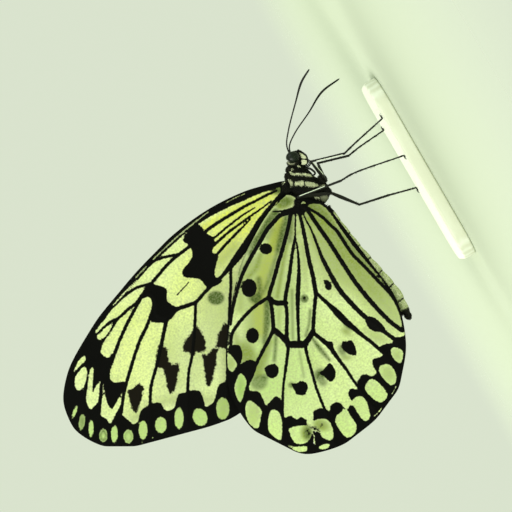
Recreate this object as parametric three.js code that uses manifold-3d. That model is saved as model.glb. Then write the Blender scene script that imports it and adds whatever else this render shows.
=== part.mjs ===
// A large tree nymph butterfly (a white paper kite) with its wings closed over
// its back, standing on a small display plate. Millimetres, +Z up, +X towards
// the head, +Y to the insect's left. The origin is the centre of the plate's
// underside.
import * as THREE from "three";
import { mergeVertices } from "three/addons/utils/BufferGeometryUtils.js";
import Module from "manifold-3d";

const wasm = await Module();
wasm.setup();

// ---------------------------------------------------------------- dimensions

const GAP = 0.3; // between touching pieces
const PLATE = { length: 44, width: 32, thick: 3, corner: 7, chamfer: 0.5 };
const SIDES = { right: -1, left: 1 }; // the sign of Y on each side

// The side elevation is drafted with the head up: p runs from the back to the
// belly, q runs from the tail to the head. Turning it by DRAFT_TURN stands the
// insect on its feet.
const DRAFT_TURN = THREE.MathUtils.degToRad(-120);
const DRAFT_SHIFT = 9; // from the drafting origin to the plate's centre, along X
const SOLE_DROP = 22.9; // from the drafting origin down to the soles
const SOLE_LEVEL = PLATE.thick + GAP;

const WING = {
  membrane: 0.5, // thickness between the veins
  ridge: 0.2, // height of a vein on each face
  ridgeHalf: 0.5, // half the width of a vein's foot
  outlineStep: 2.1,
  veinStep: 3.0,
  fillStep: 4.6,
  clear: 1.05, // between the outline and the nearest inner vertex
  pairGap: 1.2, // between the middles of a fore wing and its hind wing
  tipOffset: 0.65, // fore wing's middle plane from the insect's own middle
  rootOffset: 1.5,
  rootReach: 25, // over which the wing comes in from the root offset
  spread: 1.2, // extra opening at the wing tip
  span: 65,
  bodyOffset: 3.1, // hind wing's middle beside the abdomen
  bodyNear: 3,
  bodyFar: 9,
};
const WING_ROOT = [-2, -1];

const THORAX = { halfWidth: 3.0, power: 2.5, sides: 28 };
const ABDOMEN = { segments: 8, groove: 0.12, sides: 14 };
const HEAD = { centre: [-1.0, 6.95], radii: [1.75, 2.05, 2.1] };
const EYE = { centre: [-1.55, 7.1], out: 1.75, radii: [1.4, 1.22, 1.05] };
const ANTENNA = { root: 0.26, stem: 0.25, club: 0.4, sides: 6, steps: 26 };
const COIL = { centre: [1.5, 6.0], outer: 0.95, inner: 0.3, turns: 1.6, tube: 0.2 };

// -------------------------------------------------------------------- finish

const FINISH = {
  wing: { color: 0xdcebaa, roughness: 0.7, metalness: 0 },
  body: { color: 0x1c1a17, roughness: 0.8, metalness: 0 },
  belly: { color: 0xa9b38a, roughness: 0.8, metalness: 0 },
  limb: { color: 0x12110f, roughness: 0.55, metalness: 0 },
  eye: { color: 0x10160f, roughness: 0.2, metalness: 0 },
  plate: { color: 0xd9dfd2, roughness: 0.6, metalness: 0 },
};

// --------------------------------------------------------------- small tools

const { cos, sin, hypot, PI } = Math;
const smooth = (x, from, to) => THREE.MathUtils.smoothstep(x, from, to);
const mix = (a, b, t) => a + (b - a) * t;

// A drafted point (p, q) at distance y to the insect's left, in the part's frame.
function at([p, q], y = 0) {
  return new THREE.Vector3(
    p * cos(DRAFT_TURN) - q * sin(DRAFT_TURN) + DRAFT_SHIFT,
    y,
    p * sin(DRAFT_TURN) + q * cos(DRAFT_TURN) + SOLE_DROP + SOLE_LEVEL,
  );
}

function toSolid(geometry) {
  const bare = geometry.clone();
  bare.deleteAttribute("normal");
  bare.deleteAttribute("uv");
  const merged = mergeVertices(bare, 1e-4);
  return new wasm.Manifold(
    new wasm.Mesh({
      numProp: 3,
      vertProperties: merged.attributes.position.array,
      triVerts: new Uint32Array(merged.index.array),
    }),
  );
}

// The largest closed surface of a solid, as geometry.
function toGeometry(solid) {
  const bodies = solid.decompose().sort((a, b) => b.volume() - a.volume());
  const mesh = bodies[0].getMesh();
  const geometry = new THREE.BufferGeometry();
  geometry.setAttribute(
    "position",
    new THREE.BufferAttribute(mesh.vertProperties, mesh.numProp),
  );
  geometry.setIndex(new THREE.BufferAttribute(mesh.triVerts, 1));
  const flat = geometry.toNonIndexed();
  flat.computeVertexNormals();
  return flat;
}

function geometryOf(points, triangles) {
  const geometry = new THREE.BufferGeometry().setFromPoints(points);
  geometry.setIndex(triangles.flat());
  return geometry;
}

// A closed solid through rings of equally many points, with a fan on each end.
// Each ring runs anticlockwise as seen from the end where the rings finish.
function loft(rings) {
  const n = rings[0].length;
  const points = rings.flat();
  const triangles = [];
  for (let r = 0; r + 1 < rings.length; r++)
    for (let i = 0; i < n; i++) {
      const a = r * n + i;
      const b = r * n + ((i + 1) % n);
      triangles.push([a, b, b + n], [a, b + n, a + n]);
    }
  const cap = (first, flip) => {
    const middle = new THREE.Vector3();
    for (let i = 0; i < n; i++) middle.addScaledVector(points[first + i], 1 / n);
    const m = points.push(middle) - 1;
    for (let i = 0; i < n; i++) {
      const a = first + i;
      const b = first + ((i + 1) % n);
      triangles.push(flip ? [b, a, m] : [a, b, m]);
    }
  };
  cap(0, true);
  cap((rings.length - 1) * n, false);
  const solid = toSolid(geometryOf(points, triangles));
  return solid.volume() < 0 ? toSolid(geometryOf(points, triangles.map((t) => t.reverse()))) : solid;
}

// A round limb through points, its radius given at each point.
function limb(points, radii, sides, steps) {
  const curve = new THREE.CatmullRomCurve3(points, false, "centripetal");
  const frames = curve.computeFrenetFrames(steps, false);
  const rings = [];
  for (let k = 0; k <= steps; k++) {
    const centre = curve.getPointAt(k / steps);
    const along = curve.getUtoTmapping(k / steps) * (points.length - 1);
    const i = Math.min(Math.floor(along), points.length - 2);
    const radius = mix(radii[i], radii[i + 1], along - i);
    const ring = [];
    for (let j = 0; j < sides; j++) {
      const turn = (2 * PI * j) / sides;
      ring.push(
        centre
          .clone()
          .addScaledVector(frames.normals[k], radius * cos(turn))
          .addScaledVector(frames.binormals[k], radius * sin(turn)),
      );
    }
    rings.push(ring);
  }
  return loft(rings);
}

// An ellipsoid whose axes lie along the drafted p, q and the part's Y.
function ellipsoid(centre, y, [rp, rq, ry], across = 20, down = 14) {
  const ball = new THREE.SphereGeometry(1, across, down);
  ball.scale(rp, ry, rq);
  ball.rotateY(-DRAFT_TURN);
  const c = at(centre, y);
  ball.translate(c.x, c.y, c.z);
  return toSolid(ball);
}

function box(sizeX, sizeY, sizeZ, x, y, z) {
  return toSolid(new THREE.BoxGeometry(sizeX, sizeY, sizeZ).translate(x, y, z));
}

// ---------------------------------------------------------------------- body

// The body axis of the thorax in the drafted plane, and the way to its back.
const FORWARD = [-sin(PI / 6), cos(PI / 6)];
const BACKWARD = [-cos(PI / 6), -sin(PI / 6)];
const THORAX_CENTRE = [1.8, 1.5];

// Stations of the thorax from the waist to the neck: place along the axis,
// height of the back, depth of the breast, share of the full half width.
const THORAX_STATIONS = [
  [-5.7, 1.6, -2.2, 0.5],
  [-5.1, 2.8, -3.3, 0.72],
  [-3.8, 3.9, -4.0, 0.9],
  [-2.2, 4.6, -3.8, 1.0],
  [-0.8, 4.9, -3.1, 1.0],
  [0.7, 5.0, -2.2, 0.98],
  [2.2, 4.8, -1.9, 0.93],
  [3.5, 4.3, -1.5, 0.82],
  [4.5, 3.4, -1.2, 0.68],
  [5.3, 2.5, -0.8, 0.5],
];

function onBody(along, up) {
  return [
    THORAX_CENTRE[0] + along * FORWARD[0] + up * BACKWARD[0],
    THORAX_CENTRE[1] + along * FORWARD[1] + up * BACKWARD[1],
  ];
}

function thoraxSolid(extra = 0) {
  const corner = (v) => Math.sign(v) * Math.abs(v) ** (2 / THORAX.power);
  const last = THORAX_STATIONS.length - 1;
  return loft(
    THORAX_STATIONS.map(([along, back, breast, share], k) => {
      const middle = (back + breast) / 2;
      const half = (back - breast) / 2 + extra;
      const wide = THORAX.halfWidth * share + extra;
      const end = k === 0 ? -extra : k === last ? extra : 0;
      const ring = [];
      for (let i = 0; i < THORAX.sides; i++) {
        const turn = (2 * PI * i) / THORAX.sides;
        const up = middle + half * corner(sin(turn));
        ring.push(at(onBody(along + end, up), wide * corner(cos(turn))));
      }
      return ring;
    }),
  );
}

// The abdomen hangs back and a little down from the waist.
const ABDOMEN_AXIS = [
  [4.9, -4.0],
  [8.2, -9.0],
  [12.0, -14.0],
  [16.6, -18.9],
  [20.8, -23.3],
  [23.2, -27.0],
];
const ABDOMEN_RADII = [1.75, 2.15, 2.3, 2.15, 1.75, 1.15];

function abdomenSolid(extra = 0) {
  const axis = new THREE.SplineCurve(ABDOMEN_AXIS.map(([p, q]) => new THREE.Vector2(p, q)));
  const perSegment = [0, 0.3, 0.7];
  const rings = [];
  const ringAt = (u, pinch) => {
    const centre = axis.getPointAt(u);
    const tangent = axis.getTangentAt(u);
    const along = axis.getUtoTmapping(u) * (ABDOMEN_RADII.length - 1);
    const i = Math.min(Math.floor(along), ABDOMEN_RADII.length - 2);
    const radius = mix(ABDOMEN_RADII[i], ABDOMEN_RADII[i + 1], along - i) - pinch + extra;
    const ring = [];
    for (let j = 0; j < ABDOMEN.sides; j++) {
      const turn = (2 * PI * j) / ABDOMEN.sides;
      const up = radius * sin(turn);
      ring.push(at([centre.x - tangent.y * up, centre.y + tangent.x * up], radius * cos(turn)));
    }
    return ring;
  };
  for (let s = 0; s < ABDOMEN.segments; s++)
    for (const part of perSegment)
      rings.push(ringAt((s + part) / ABDOMEN.segments, part === 0 && s > 0 ? ABDOMEN.groove : 0));
  rings.push(ringAt(1, 0));
  return loft(rings);
}

// Two small valves close the tail.
function claspers() {
  return [-1, 1].map((side) => ellipsoid([23.75, -27.6], side * 0.5, [0.75, 1.1, 0.65], 10, 6));
}

const headSolid = (extra = 0) => ellipsoid(HEAD.centre, 0, HEAD.radii.map((r) => r + extra), 20, 14);

const eyeSolid = (side, extra = 0) =>
  ellipsoid(EYE.centre, side * EYE.out, EYE.radii.map((r) => r + extra), 16, 10);

// Each palp rises in front of the face from beside the mouth.
function palp(side) {
  const route = [
    [0.4, 5.5],
    [1.3, 6.2],
    [1.25, 7.2],
    [0.6, 8.2],
    [-0.5, 9.0],
  ];
  return limb(route.map((pq) => at(pq, side * 1.0)), [0.35, 0.45, 0.42, 0.33, 0.14], 8, 8);
}

// The proboscis is rolled up between the palps.
function proboscis() {
  const steps = 30;
  const points = [];
  for (let k = 0; k <= steps; k++) {
    const t = k / steps;
    const radius = mix(COIL.outer, COIL.inner, t);
    const turn = 2 * PI * COIL.turns * t + PI;
    points.push(at([COIL.centre[0] + radius * cos(turn), COIL.centre[1] + radius * sin(turn)], 0));
  }
  return limb(points, points.map(() => COIL.tube), 6, 40);
}

// ------------------------------------------------------------------ feelers

const ANTENNA_ROUTES = {
  right: [
    [-2.3, 8.0],
    [-2.95, 9.8],
    [-2.6, 13.0],
    [-1.05, 19.1],
    [0.2, 23.4],
    [1.9, 26.2],
  ],
  left: [
    [-2.1, 8.0],
    [-2.35, 9.6],
    [-1.2, 12.5],
    [2.0, 17.3],
    [4.9, 21.9],
    [8.7, 24.8],
  ],
};
const ANTENNA_SPREAD = [0.75, 1.2, 2.6, 5.2, 7.2, 8.6];

function antenna(name) {
  const side = SIDES[name];
  const points = ANTENNA_ROUTES[name].map((pq, i) => at(pq, side * ANTENNA_SPREAD[i]));
  const { root, stem, club } = ANTENNA;
  return limb(points, [root, stem, stem, stem, club, 0.16], ANTENNA.sides, ANTENNA.steps);
}

// --------------------------------------------------------------------- legs

// Joints of each leg as drafted point and distance from the insect's middle;
// the last is the claw, laid along the ground in the direction of its toe.
const LEGS = {
  leg_mid_right: {
    joints: [[5.9, 2.2], [2.25, 6.1], [9.5, 7.8], [11.9, 10.1], [17.1, 15.0]],
    out: [1.2, 7.0, 8.6, 9.3, 10.6],
    toe: [0.6, 0.8],
  },
  leg_mid_left: {
    joints: [[5.9, 2.2], [4.0, 6.1], [10.9, 7.8], [13.1, 9.6], [18.2, 13.2]],
    out: [1.2, 7.0, 8.6, 9.3, 10.6],
    toe: [0.5, 0.85],
  },
  leg_hind_right: {
    joints: [[7.3, -0.6], [-0.5, -1.75], [9.2, 2.5], [12.2, 3.6], [21.8, 7.0]],
    out: [1.2, 6.5, 8.5, 9.2, 11.6],
    toe: [-0.5, 0.85],
  },
  leg_hind_left: {
    joints: [[7.3, -0.6], [13.2, -3.1], [20.0, -0.9], [22.2, -0.3], [25.6, 0.5]],
    out: [1.2, 6.4, 10.2, 11.3, 12.6],
    toe: [-0.8, 0.6],
  },
};
const LEG_RADII = [0.5, 0.42, 0.34, 0.27, 0.25];
const TOE = { length: 1.5, lift: 0.2, radius: 0.25 };

function leg({ joints, out, toe }, side) {
  const points = joints.map((pq, i) => at(pq, side * out[i]));
  const ankle = points[points.length - 1];
  ankle.z = SOLE_LEVEL + TOE.lift;
  const tip = ankle.clone();
  tip.x += toe[0] * TOE.length;
  tip.y += side * toe[1] * TOE.length;
  // Each straight shank is its own limb, so the joints stay sharp.
  const pieces = [];
  for (let i = 0; i + 1 < points.length; i++) {
    const thick = i === 0 ? [LEG_RADII[0], 0.62, LEG_RADII[1]] : [LEG_RADII[i], LEG_RADII[i], LEG_RADII[i + 1]];
    const middle = points[i].clone().lerp(points[i + 1], 0.45);
    pieces.push(limb([points[i], middle, points[i + 1]], thick, 6, 2));
    pieces.push(knuckle(points[i + 1], LEG_RADII[i + 1] * 1.15));
  }
  pieces.push(limb([ankle, tip], [TOE.radius, 0.16], 6, 1));
  const whole = wasm.Manifold.union(pieces);
  return whole.subtract(box(120, 120, 4, 0, 0, SOLE_LEVEL - 2));
}

function knuckle(centre, radius) {
  const ball = new THREE.IcosahedronGeometry(radius, 0);
  ball.translate(centre.x, centre.y, centre.z);
  return toSolid(ball);
}

// The short fore legs are folded up against the breast, like small brushes.
function foreLeg(side) {
  const folded = [
    [-0.2, 4.3],
    [2.1, 4.75],
    [3.35, 3.7],
  ];
  const back = [
    [3.35, 3.7],
    [2.2, 3.15],
  ];
  const upper = limb(folded.map((pq, i) => at(pq, side * [0.6, 1.15, 1.3][i])), [0.3, 0.32, 0.27], 7, 6);
  const lower = limb(back.map((pq, i) => at(pq, side * [1.3, 1.2][i])), [0.27, 0.14], 7, 2);
  return upper.add(lower).add(knuckle(at([3.35, 3.7], side * 1.3), 0.28));
}

// -------------------------------------------------------------------- wings

const FORE_WING = {
  outline: [
    [-3.0, 1.9], [-7.5, 1.1], [-12, -0.2], [-20, -4.1], [-28, -9.9], [-34, -16], [-40, -22.8],
    [-44.3, -28], [-48, -34], [-51, -40], [-52, -46], [-49.8, -52], [-46, -55], [-40, -56.2],
    [-34, -55.8], [-26, -53], [-20, -52], [-14, -49.4], [-10, -46], [-7.6, -34], [-5.6, -18],
    [-3.4, -3.5],
  ],
  veins: [
    // subcosta and the radial stem with its branches
    [[-4.6, 0.2], [-10, -1.9], [-18, -7.2], [-26, -13.4], [-31, -18.8], [-35, -23.6]],
    [[-26, -13.4], [-30, -14.6], [-34, -17.9], [-40, -24.2], [-44.6, -30.4]],
    [[-33, -20.5], [-38, -23.4], [-42.3, -28.2]],
    [[-35, -23.6], [-40, -28.3], [-44.5, -35], [-47, -41], [-47.8, -47]],
    [[-35, -23.6], [-38.5, -30], [-42, -38.5], [-44, -46.5], [-44.2, -52.5]],
    // the cross vein that closes the cell, and the median veins
    [[-35, -23.6], [-33, -27.5], [-29.5, -27.6], [-23, -24.8]],
    [[-33, -27.5], [-35.5, -33], [-38.2, -43], [-39.6, -52.5]],
    [[-29.5, -27.6], [-31.8, -37.5], [-33, -46], [-33.3, -52.6]],
    // the cubital stem and its two branches
    [[-4.2, -1.0], [-9, -7.5], [-13.5, -14.5], [-19, -20.5], [-23, -24.8]],
    [[-23, -24.8], [-23.6, -34], [-24.7, -43], [-25, -50.5]],
    [[-15.3, -16.8], [-15.3, -26], [-15.9, -36], [-16.4, -47.5]],
    [[-4.6, -6], [-7.6, -20], [-10.6, -36], [-12.2, -44.5]],
  ],
};

const HIND_WING = {
  outline: [
    [-1.5, -2.3], [-3.2, -1.5], [-5.8, -3.8], [-10, -11], [-13.7, -19.5], [-15.6, -29],
    [-16.1, -37], [-15, -45], [-12.5, -50.3], [-9, -53.6], [-4, -55.8], [1, -57.9], [7, -56.8],
    [13, -53.2], [17, -49.8], [21.5, -43.8], [23.2, -35], [22.8, -30.2], [20, -22], [15.5, -16.2],
    [10.5, -9.5], [6.8, -4.6], [4.5, -3], [0.5, -2.6],
  ],
  veins: [
    // humeral and the first vein along the front margin
    [[-2.2, -4.6], [-6.1, -6.8], [-9.8, -12.2], [-13, -20.3], [-14.6, -28]],
    // radial sector, with the branch to the front margin
    [[-2.2, -4.6], [-3.6, -12], [-5.9, -20], [-6.9, -23.5], [-10.5, -26], [-14.2, -31]],
    [[-6.9, -23.5], [-6, -30.8], [-8.5, -36], [-11.3, -42], [-13, -48.5]],
    // cross veins of the cell
    [[-6, -30.8], [-2.5, -34], [1, -33.9], [2.9, -31.3], [3.5, -22.8]],
    // median veins
    [[-2.5, -34], [-3.7, -43], [-4, -54]],
    [[1, -33.9], [2.6, -40], [5.3, -48], [7.4, -55]],
    // the two lines that cross the cell
    [[-0.8, -5.5], [-1.6, -14], [-2.9, -25], [-2.5, -34]],
    [[-0.8, -5.5], [-0.3, -18], [-0.4, -25], [0, -33.9]],
    // cubital stem and branches
    [[0.3, -4.6], [1, -12], [2.9, -20], [3.5, -22.8], [9, -28], [15, -32.8], [19.5, -37], [21.6, -40]],
    [[2.9, -31.3], [7, -35], [12.8, -42.6], [16.7, -48.2]],
    [[2.6, -40], [7.4, -46], [11.8, -52.4]],
    // anal veins
    [[1.2, -5], [4.5, -14], [9, -22], [15, -28.2], [21.6, -33.6]],
    [[2, -4.4], [7, -12.5], [13, -21], [19, -27.3], [21.8, -30]],
  ],
};

function distanceToLine(point, line, closed = false) {
  let nearest = Infinity;
  for (let i = 0; i + (closed ? 0 : 1) < line.length; i++) {
    const [ax, ay] = line[i];
    const [bx, by] = line[(i + 1) % line.length];
    const length2 = (bx - ax) ** 2 + (by - ay) ** 2;
    const t = THREE.MathUtils.clamp(
      ((point[0] - ax) * (bx - ax) + (point[1] - ay) * (by - ay)) / length2,
      0,
      1,
    );
    nearest = Math.min(nearest, hypot(point[0] - ax - t * (bx - ax), point[1] - ay - t * (by - ay)));
  }
  return nearest;
}

function isInside([x, y], outline) {
  let inside = false;
  for (let i = 0, j = outline.length - 1; i < outline.length; j = i++) {
    const [ax, ay] = outline[i];
    const [bx, by] = outline[j];
    if (ay > y !== by > y && x < ((bx - ax) * (y - ay)) / (by - ay) + ax) inside = !inside;
  }
  return inside;
}

// Evenly spaced points along a smooth line, with the way across it at each.
function walk(line, step, closed = false) {
  const curve = new THREE.CatmullRomCurve3(
    line.map(([p, q]) => new THREE.Vector3(p, q, 0)),
    closed,
    "centripetal",
  );
  const count = Math.max(2, Math.round(curve.getLength() / step));
  const stations = [];
  for (let k = 0; k < (closed ? count : count + 1); k++) {
    const here = curve.getPointAt(k / count);
    const way = curve.getTangentAt(k / count);
    stations.push({ point: [here.x, here.y], across: [-way.y, way.x] });
  }
  return stations;
}

// Delaunay triangles of points in the plane, by inserting one point at a time.
function delaunay(points) {
  const far = 1e4;
  const all = [...points, [-far, -far], [far, -far], [0, far]];
  const n = points.length;
  const circle = (a, b, c) => {
    const [ax, ay] = all[a];
    const bx = all[b][0] - ax;
    const by = all[b][1] - ay;
    const cx = all[c][0] - ax;
    const cy = all[c][1] - ay;
    const d = 2 * (bx * cy - by * cx);
    const ux = (cy * (bx * bx + by * by) - by * (cx * cx + cy * cy)) / d;
    const uy = (bx * (cx * cx + cy * cy) - cx * (bx * bx + by * by)) / d;
    return { corners: [a, b, c], x: ax + ux, y: ay + uy, r2: ux * ux + uy * uy };
  };
  let triangles = [circle(n, n + 1, n + 2)];
  for (let k = 0; k < n; k++) {
    const [x, y] = all[k];
    const rim = new Map();
    const kept = [];
    for (const t of triangles) {
      if ((t.x - x) ** 2 + (t.y - y) ** 2 >= t.r2) {
        kept.push(t);
        continue;
      }
      t.corners.forEach((from, i) => {
        const to = t.corners[(i + 1) % 3];
        if (!rim.delete(to + "," + from)) rim.set(from + "," + to, [from, to]);
      });
    }
    for (const [from, to] of rim.values()) kept.push(circle(from, to, k));
    triangles = kept;
  }
  return triangles.map((t) => t.corners).filter((t) => t.every((i) => i < n));
}

// The vertices of a wing's plan: its edge, its veins in three rows so that each
// stands up as a ridge, and a loose filling between them.
function wingPlan({ outline, veins }) {
  const edge = walk(outline, WING.outlineStep, true).map((s) => s.point);
  const vertices = edge.map((point) => ({ point, crest: false }));
  const nudge = (k) => 1e-3 * sin(12.9898 * k); // keeps four points off one circle
  const add = (point, crest, apart) => {
    if (!isInside(point, edge) || distanceToLine(point, edge, true) < WING.clear) return;
    if (vertices.some((v) => hypot(v.point[0] - point[0], v.point[1] - point[1]) < apart)) return;
    const k = vertices.length;
    vertices.push({ point: [point[0] + nudge(k), point[1] + nudge(k + 0.5)], crest });
  };
  const lines = veins.map((vein) => walk(vein, WING.veinStep));
  for (const line of lines) for (const { point } of line) add(point, true, 0.8);
  for (const line of lines)
    for (const { point, across } of line)
      for (const side of [-1, 1])
        add([0, 1].map((i) => point[i] + side * WING.ridgeHalf * across[i]), false, 0.42);
  const row = (WING.fillStep * Math.sqrt(3)) / 2;
  for (let j = -18; j <= 4; j++)
    for (let i = -14; i <= 8; i++)
      add([(i + (j % 2) / 2) * WING.fillStep, j * row], false, 1.7);
  const points = vertices.map((v) => v.point);
  const triangles = delaunay(points).filter((t) => {
    const middle = [0, 1].map((i) => (points[t[0]][i] + points[t[1]][i] + points[t[2]][i]) / 3);
    return isInside(middle, edge);
  });
  return { vertices, triangles };
}

// How far a wing's middle surface stands from the insect's own middle.
function wingOffset(point, isHind) {
  const reach = hypot(point[0] - WING_ROOT[0], point[1] - WING_ROOT[1]);
  const root = mix(WING.rootOffset, WING.tipOffset, smooth(reach, 0, WING.rootReach));
  const fore = root + WING.spread * (reach / WING.span) ** 2;
  if (!isHind) return fore;
  const beside = 1 - smooth(distanceToLine(point, ABDOMEN_AXIS), WING.bodyNear, WING.bodyFar);
  return Math.max(fore + WING.pairGap, mix(fore + WING.pairGap, WING.bodyOffset, beside));
}

function wingSolid(plan, isHind, side) {
  const { vertices, triangles } = plan;
  const n = vertices.length;
  const face = (way) =>
    vertices.map(({ point, crest }) => {
      const half = WING.membrane / 2 + (crest ? WING.ridge : 0);
      return at(point, side * (wingOffset(point, isHind) + way * half));
    });
  const points = [...face(1), ...face(-1)];
  const shell = [];
  const rim = new Map();
  for (const [a, b, c] of triangles) {
    shell.push([a, b, c], [c + n, b + n, a + n]);
    for (const [from, to] of [[a, b], [b, c], [c, a]])
      if (!rim.delete(to + "," + from)) rim.set(from + "," + to, [from, to]);
  }
  for (const [from, to] of rim.values()) shell.push([to, from, from + n], [to, from + n, to + n]);
  const solid = toSolid(geometryOf(points, shell));
  return solid.volume() < 0 ? toSolid(geometryOf(points, shell.map((t) => t.reverse()))) : solid;
}

// The thick hinge by which each wing meets the thorax.
const HINGES = {
  fore: { centre: [-3.1, 0.5], out: 1.75, radii: [1.3, 1.5, 0.6] },
  hind: { centre: [-0.3, -3.0], out: 2.45, radii: [1.7, 1.2, 0.8] },
};

// -------------------------------------------------------------------- plate

function plate() {
  const { length, width, thick, corner, chamfer } = PLATE;
  const ring = (inset, z) => {
    const outline = new THREE.Shape();
    const [x, y, r] = [length / 2 - inset, width / 2 - inset, corner - inset];
    outline.absarc(x - r, y - r, r, 0, PI / 2);
    outline.absarc(-x + r, y - r, r, PI / 2, PI);
    outline.absarc(-x + r, -y + r, r, PI, 1.5 * PI);
    outline.absarc(x - r, -y + r, r, 1.5 * PI, 2 * PI);
    return outline.getPoints(3).map((v) => new THREE.Vector3(v.x, v.y, z));
  };
  return loft([ring(chamfer, 0), ring(0, chamfer), ring(0, thick - chamfer), ring(chamfer, thick)]);
}

// ----------------------------------------------------------------- assembly

const butterfly = new THREE.Group();

function addPart(name, solid, finish) {
  const mesh = new THREE.Mesh(toGeometry(solid), new THREE.MeshStandardMaterial(FINISH[finish]));
  mesh.name = name;
  butterfly.add(mesh);
  return solid;
}

const wideThorax = thoraxSolid(GAP);
const wideHead = headSolid(GAP);
const wideAbdomen = abdomenSolid(GAP);
const wideEyes = eyeSolid(1, GAP).add(eyeSolid(-1, GAP));

addPart("thorax", thoraxSolid().subtract(wideHead), "body");
addPart("abdomen", wasm.Manifold.union([abdomenSolid(), ...claspers()]).subtract(wideThorax), "belly");
addPart("head", headSolid().subtract(wideEyes), "body");
addPart("proboscis", proboscis().subtract(wideHead).subtract(wideThorax), "limb");

for (const [name, side] of Object.entries(SIDES)) {
  addPart("eye_" + name, eyeSolid(side), "eye");
  addPart("palp_" + name, palp(side).subtract(wideHead).subtract(wideThorax), "body");
  addPart("antenna_" + name, antenna(name).subtract(wideHead).subtract(wideEyes), "limb");
  addPart("leg_fore_" + name, foreLeg(side).subtract(wideThorax).subtract(wideHead), "limb");
}
for (const [name, shape] of Object.entries(LEGS)) {
  const side = SIDES[name.split("_").pop()];
  addPart(name, leg(shape, side).subtract(wideThorax), "limb");
}

for (const [pair, wing] of Object.entries({ fore: FORE_WING, hind: HIND_WING })) {
  const isHind = pair === "hind";
  const plan = wingPlan(wing);
  const hinge = HINGES[pair];
  for (const [name, side] of Object.entries(SIDES)) {
    const blade = wingSolid(plan, isHind, side);
    const root = ellipsoid(hinge.centre, side * hinge.out, hinge.radii, 12, 8);
    const whole = blade.add(root).subtract(wideThorax).subtract(wideAbdomen);
    addPart(pair + "wing_" + name, whole, "wing");
  }
}

addPart("stand_base", plate(), "plate");

export default butterfly;
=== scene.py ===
"""A large tree nymph butterfly with closed wings, dressed as a still, life-size model.

Sizes in the classes are millimetres. The side elevation is drafted with the head
up: p runs from the back to the belly, q from the tail to the head, and y is the
distance to the insect's left. Draft turns it into the frame, which is in metres.
"""

import logging
import math
from dataclasses import dataclass, field
from enum import Enum
from typing import Any, Callable, Protocol, Sequence

import bmesh
import bpy
import numpy as np
from mathutils import Matrix, Vector, kdtree
from mathutils.geometry import delaunay_2d_cdt


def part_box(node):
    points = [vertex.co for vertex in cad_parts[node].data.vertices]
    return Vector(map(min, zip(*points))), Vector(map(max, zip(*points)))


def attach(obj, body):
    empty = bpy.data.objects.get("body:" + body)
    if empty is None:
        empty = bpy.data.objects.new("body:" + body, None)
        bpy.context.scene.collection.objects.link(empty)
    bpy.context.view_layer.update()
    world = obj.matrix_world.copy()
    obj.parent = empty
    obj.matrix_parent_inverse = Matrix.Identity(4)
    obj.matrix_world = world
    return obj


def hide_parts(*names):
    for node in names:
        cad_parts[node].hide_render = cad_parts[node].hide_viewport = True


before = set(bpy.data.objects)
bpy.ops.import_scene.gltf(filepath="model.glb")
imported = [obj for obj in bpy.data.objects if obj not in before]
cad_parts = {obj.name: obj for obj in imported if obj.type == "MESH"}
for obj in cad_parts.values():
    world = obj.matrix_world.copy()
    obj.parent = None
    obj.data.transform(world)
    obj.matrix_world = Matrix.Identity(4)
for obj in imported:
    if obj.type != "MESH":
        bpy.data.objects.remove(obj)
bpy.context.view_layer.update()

MM = 0.001
FAR = 99.0  # millimetres, further than any mark is from another
BODY = "root"
log = logging.getLogger("butterfly")

Pair = tuple[float, float]
Pairs = tuple[Pair, ...]
Array = np.ndarray
Piece = bpy.types.Object
Material = bpy.types.Material
Tree = bpy.types.NodeTree
Socket = bpy.types.NodeSocket


class Side(Enum):
    """The insect's sides, with the sign of y on each."""

    RIGHT = -1
    LEFT = 1


# ------------------------------------------------------------------ drafting


def unit(rows: Array) -> Array:
    """Scale each row of numbers to a length of one."""
    return rows / np.maximum(np.linalg.norm(rows, axis=-1, keepdims=True), 1e-12)


@dataclass(frozen=True)
class Draft:
    """Turns drafted points into the frame, in which the insect stands on its feet."""

    turn: float = math.radians(-120)
    shift: float = 9.0
    drop: float = 22.9
    sole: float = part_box("leg_mid_right")[0].z / MM

    def points(self, drafted: Array) -> Array:
        """Place drafted points in the frame.

        Args:
            drafted: rows of p, q and y in millimetres.

        Returns:
            Rows of x, y and z in metres.
        """
        p, q, y = np.asarray(drafted, float).reshape(-1, 3).T
        c, s = math.cos(self.turn), math.sin(self.turn)
        z = s * p + c * q + self.drop + self.sole
        return np.column_stack((c * p - s * q + self.shift, y, z)) * MM

    def point(self, p: float, q: float, y: float = 0.0) -> Vector:
        """Place one drafted point in the frame."""
        return Vector(self.points(np.array([[p, q, y]]))[0])

    def drafted(self, points: Array) -> Array:
        """Read points of the frame back as drafted ones.

        Args:
            points: rows of x, y and z in metres.

        Returns:
            Rows of p, q and y in millimetres.
        """
        x, y, z = np.asarray(points, float).T / MM
        c, s = math.cos(self.turn), math.sin(self.turn)
        x, z = x - self.shift, z - self.drop - self.sole
        return np.column_stack((c * x + s * z, c * z - s * x, y))

    def way(self, p: float, q: float, y: float = 0.0) -> Array:
        """Turn a drafted direction into the frame, as a unit vector."""
        end, start = self.points(np.array([[p, q, y], [0.0, 0.0, 0.0]]))
        return unit(end - start)


DRAFT = Draft()


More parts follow.
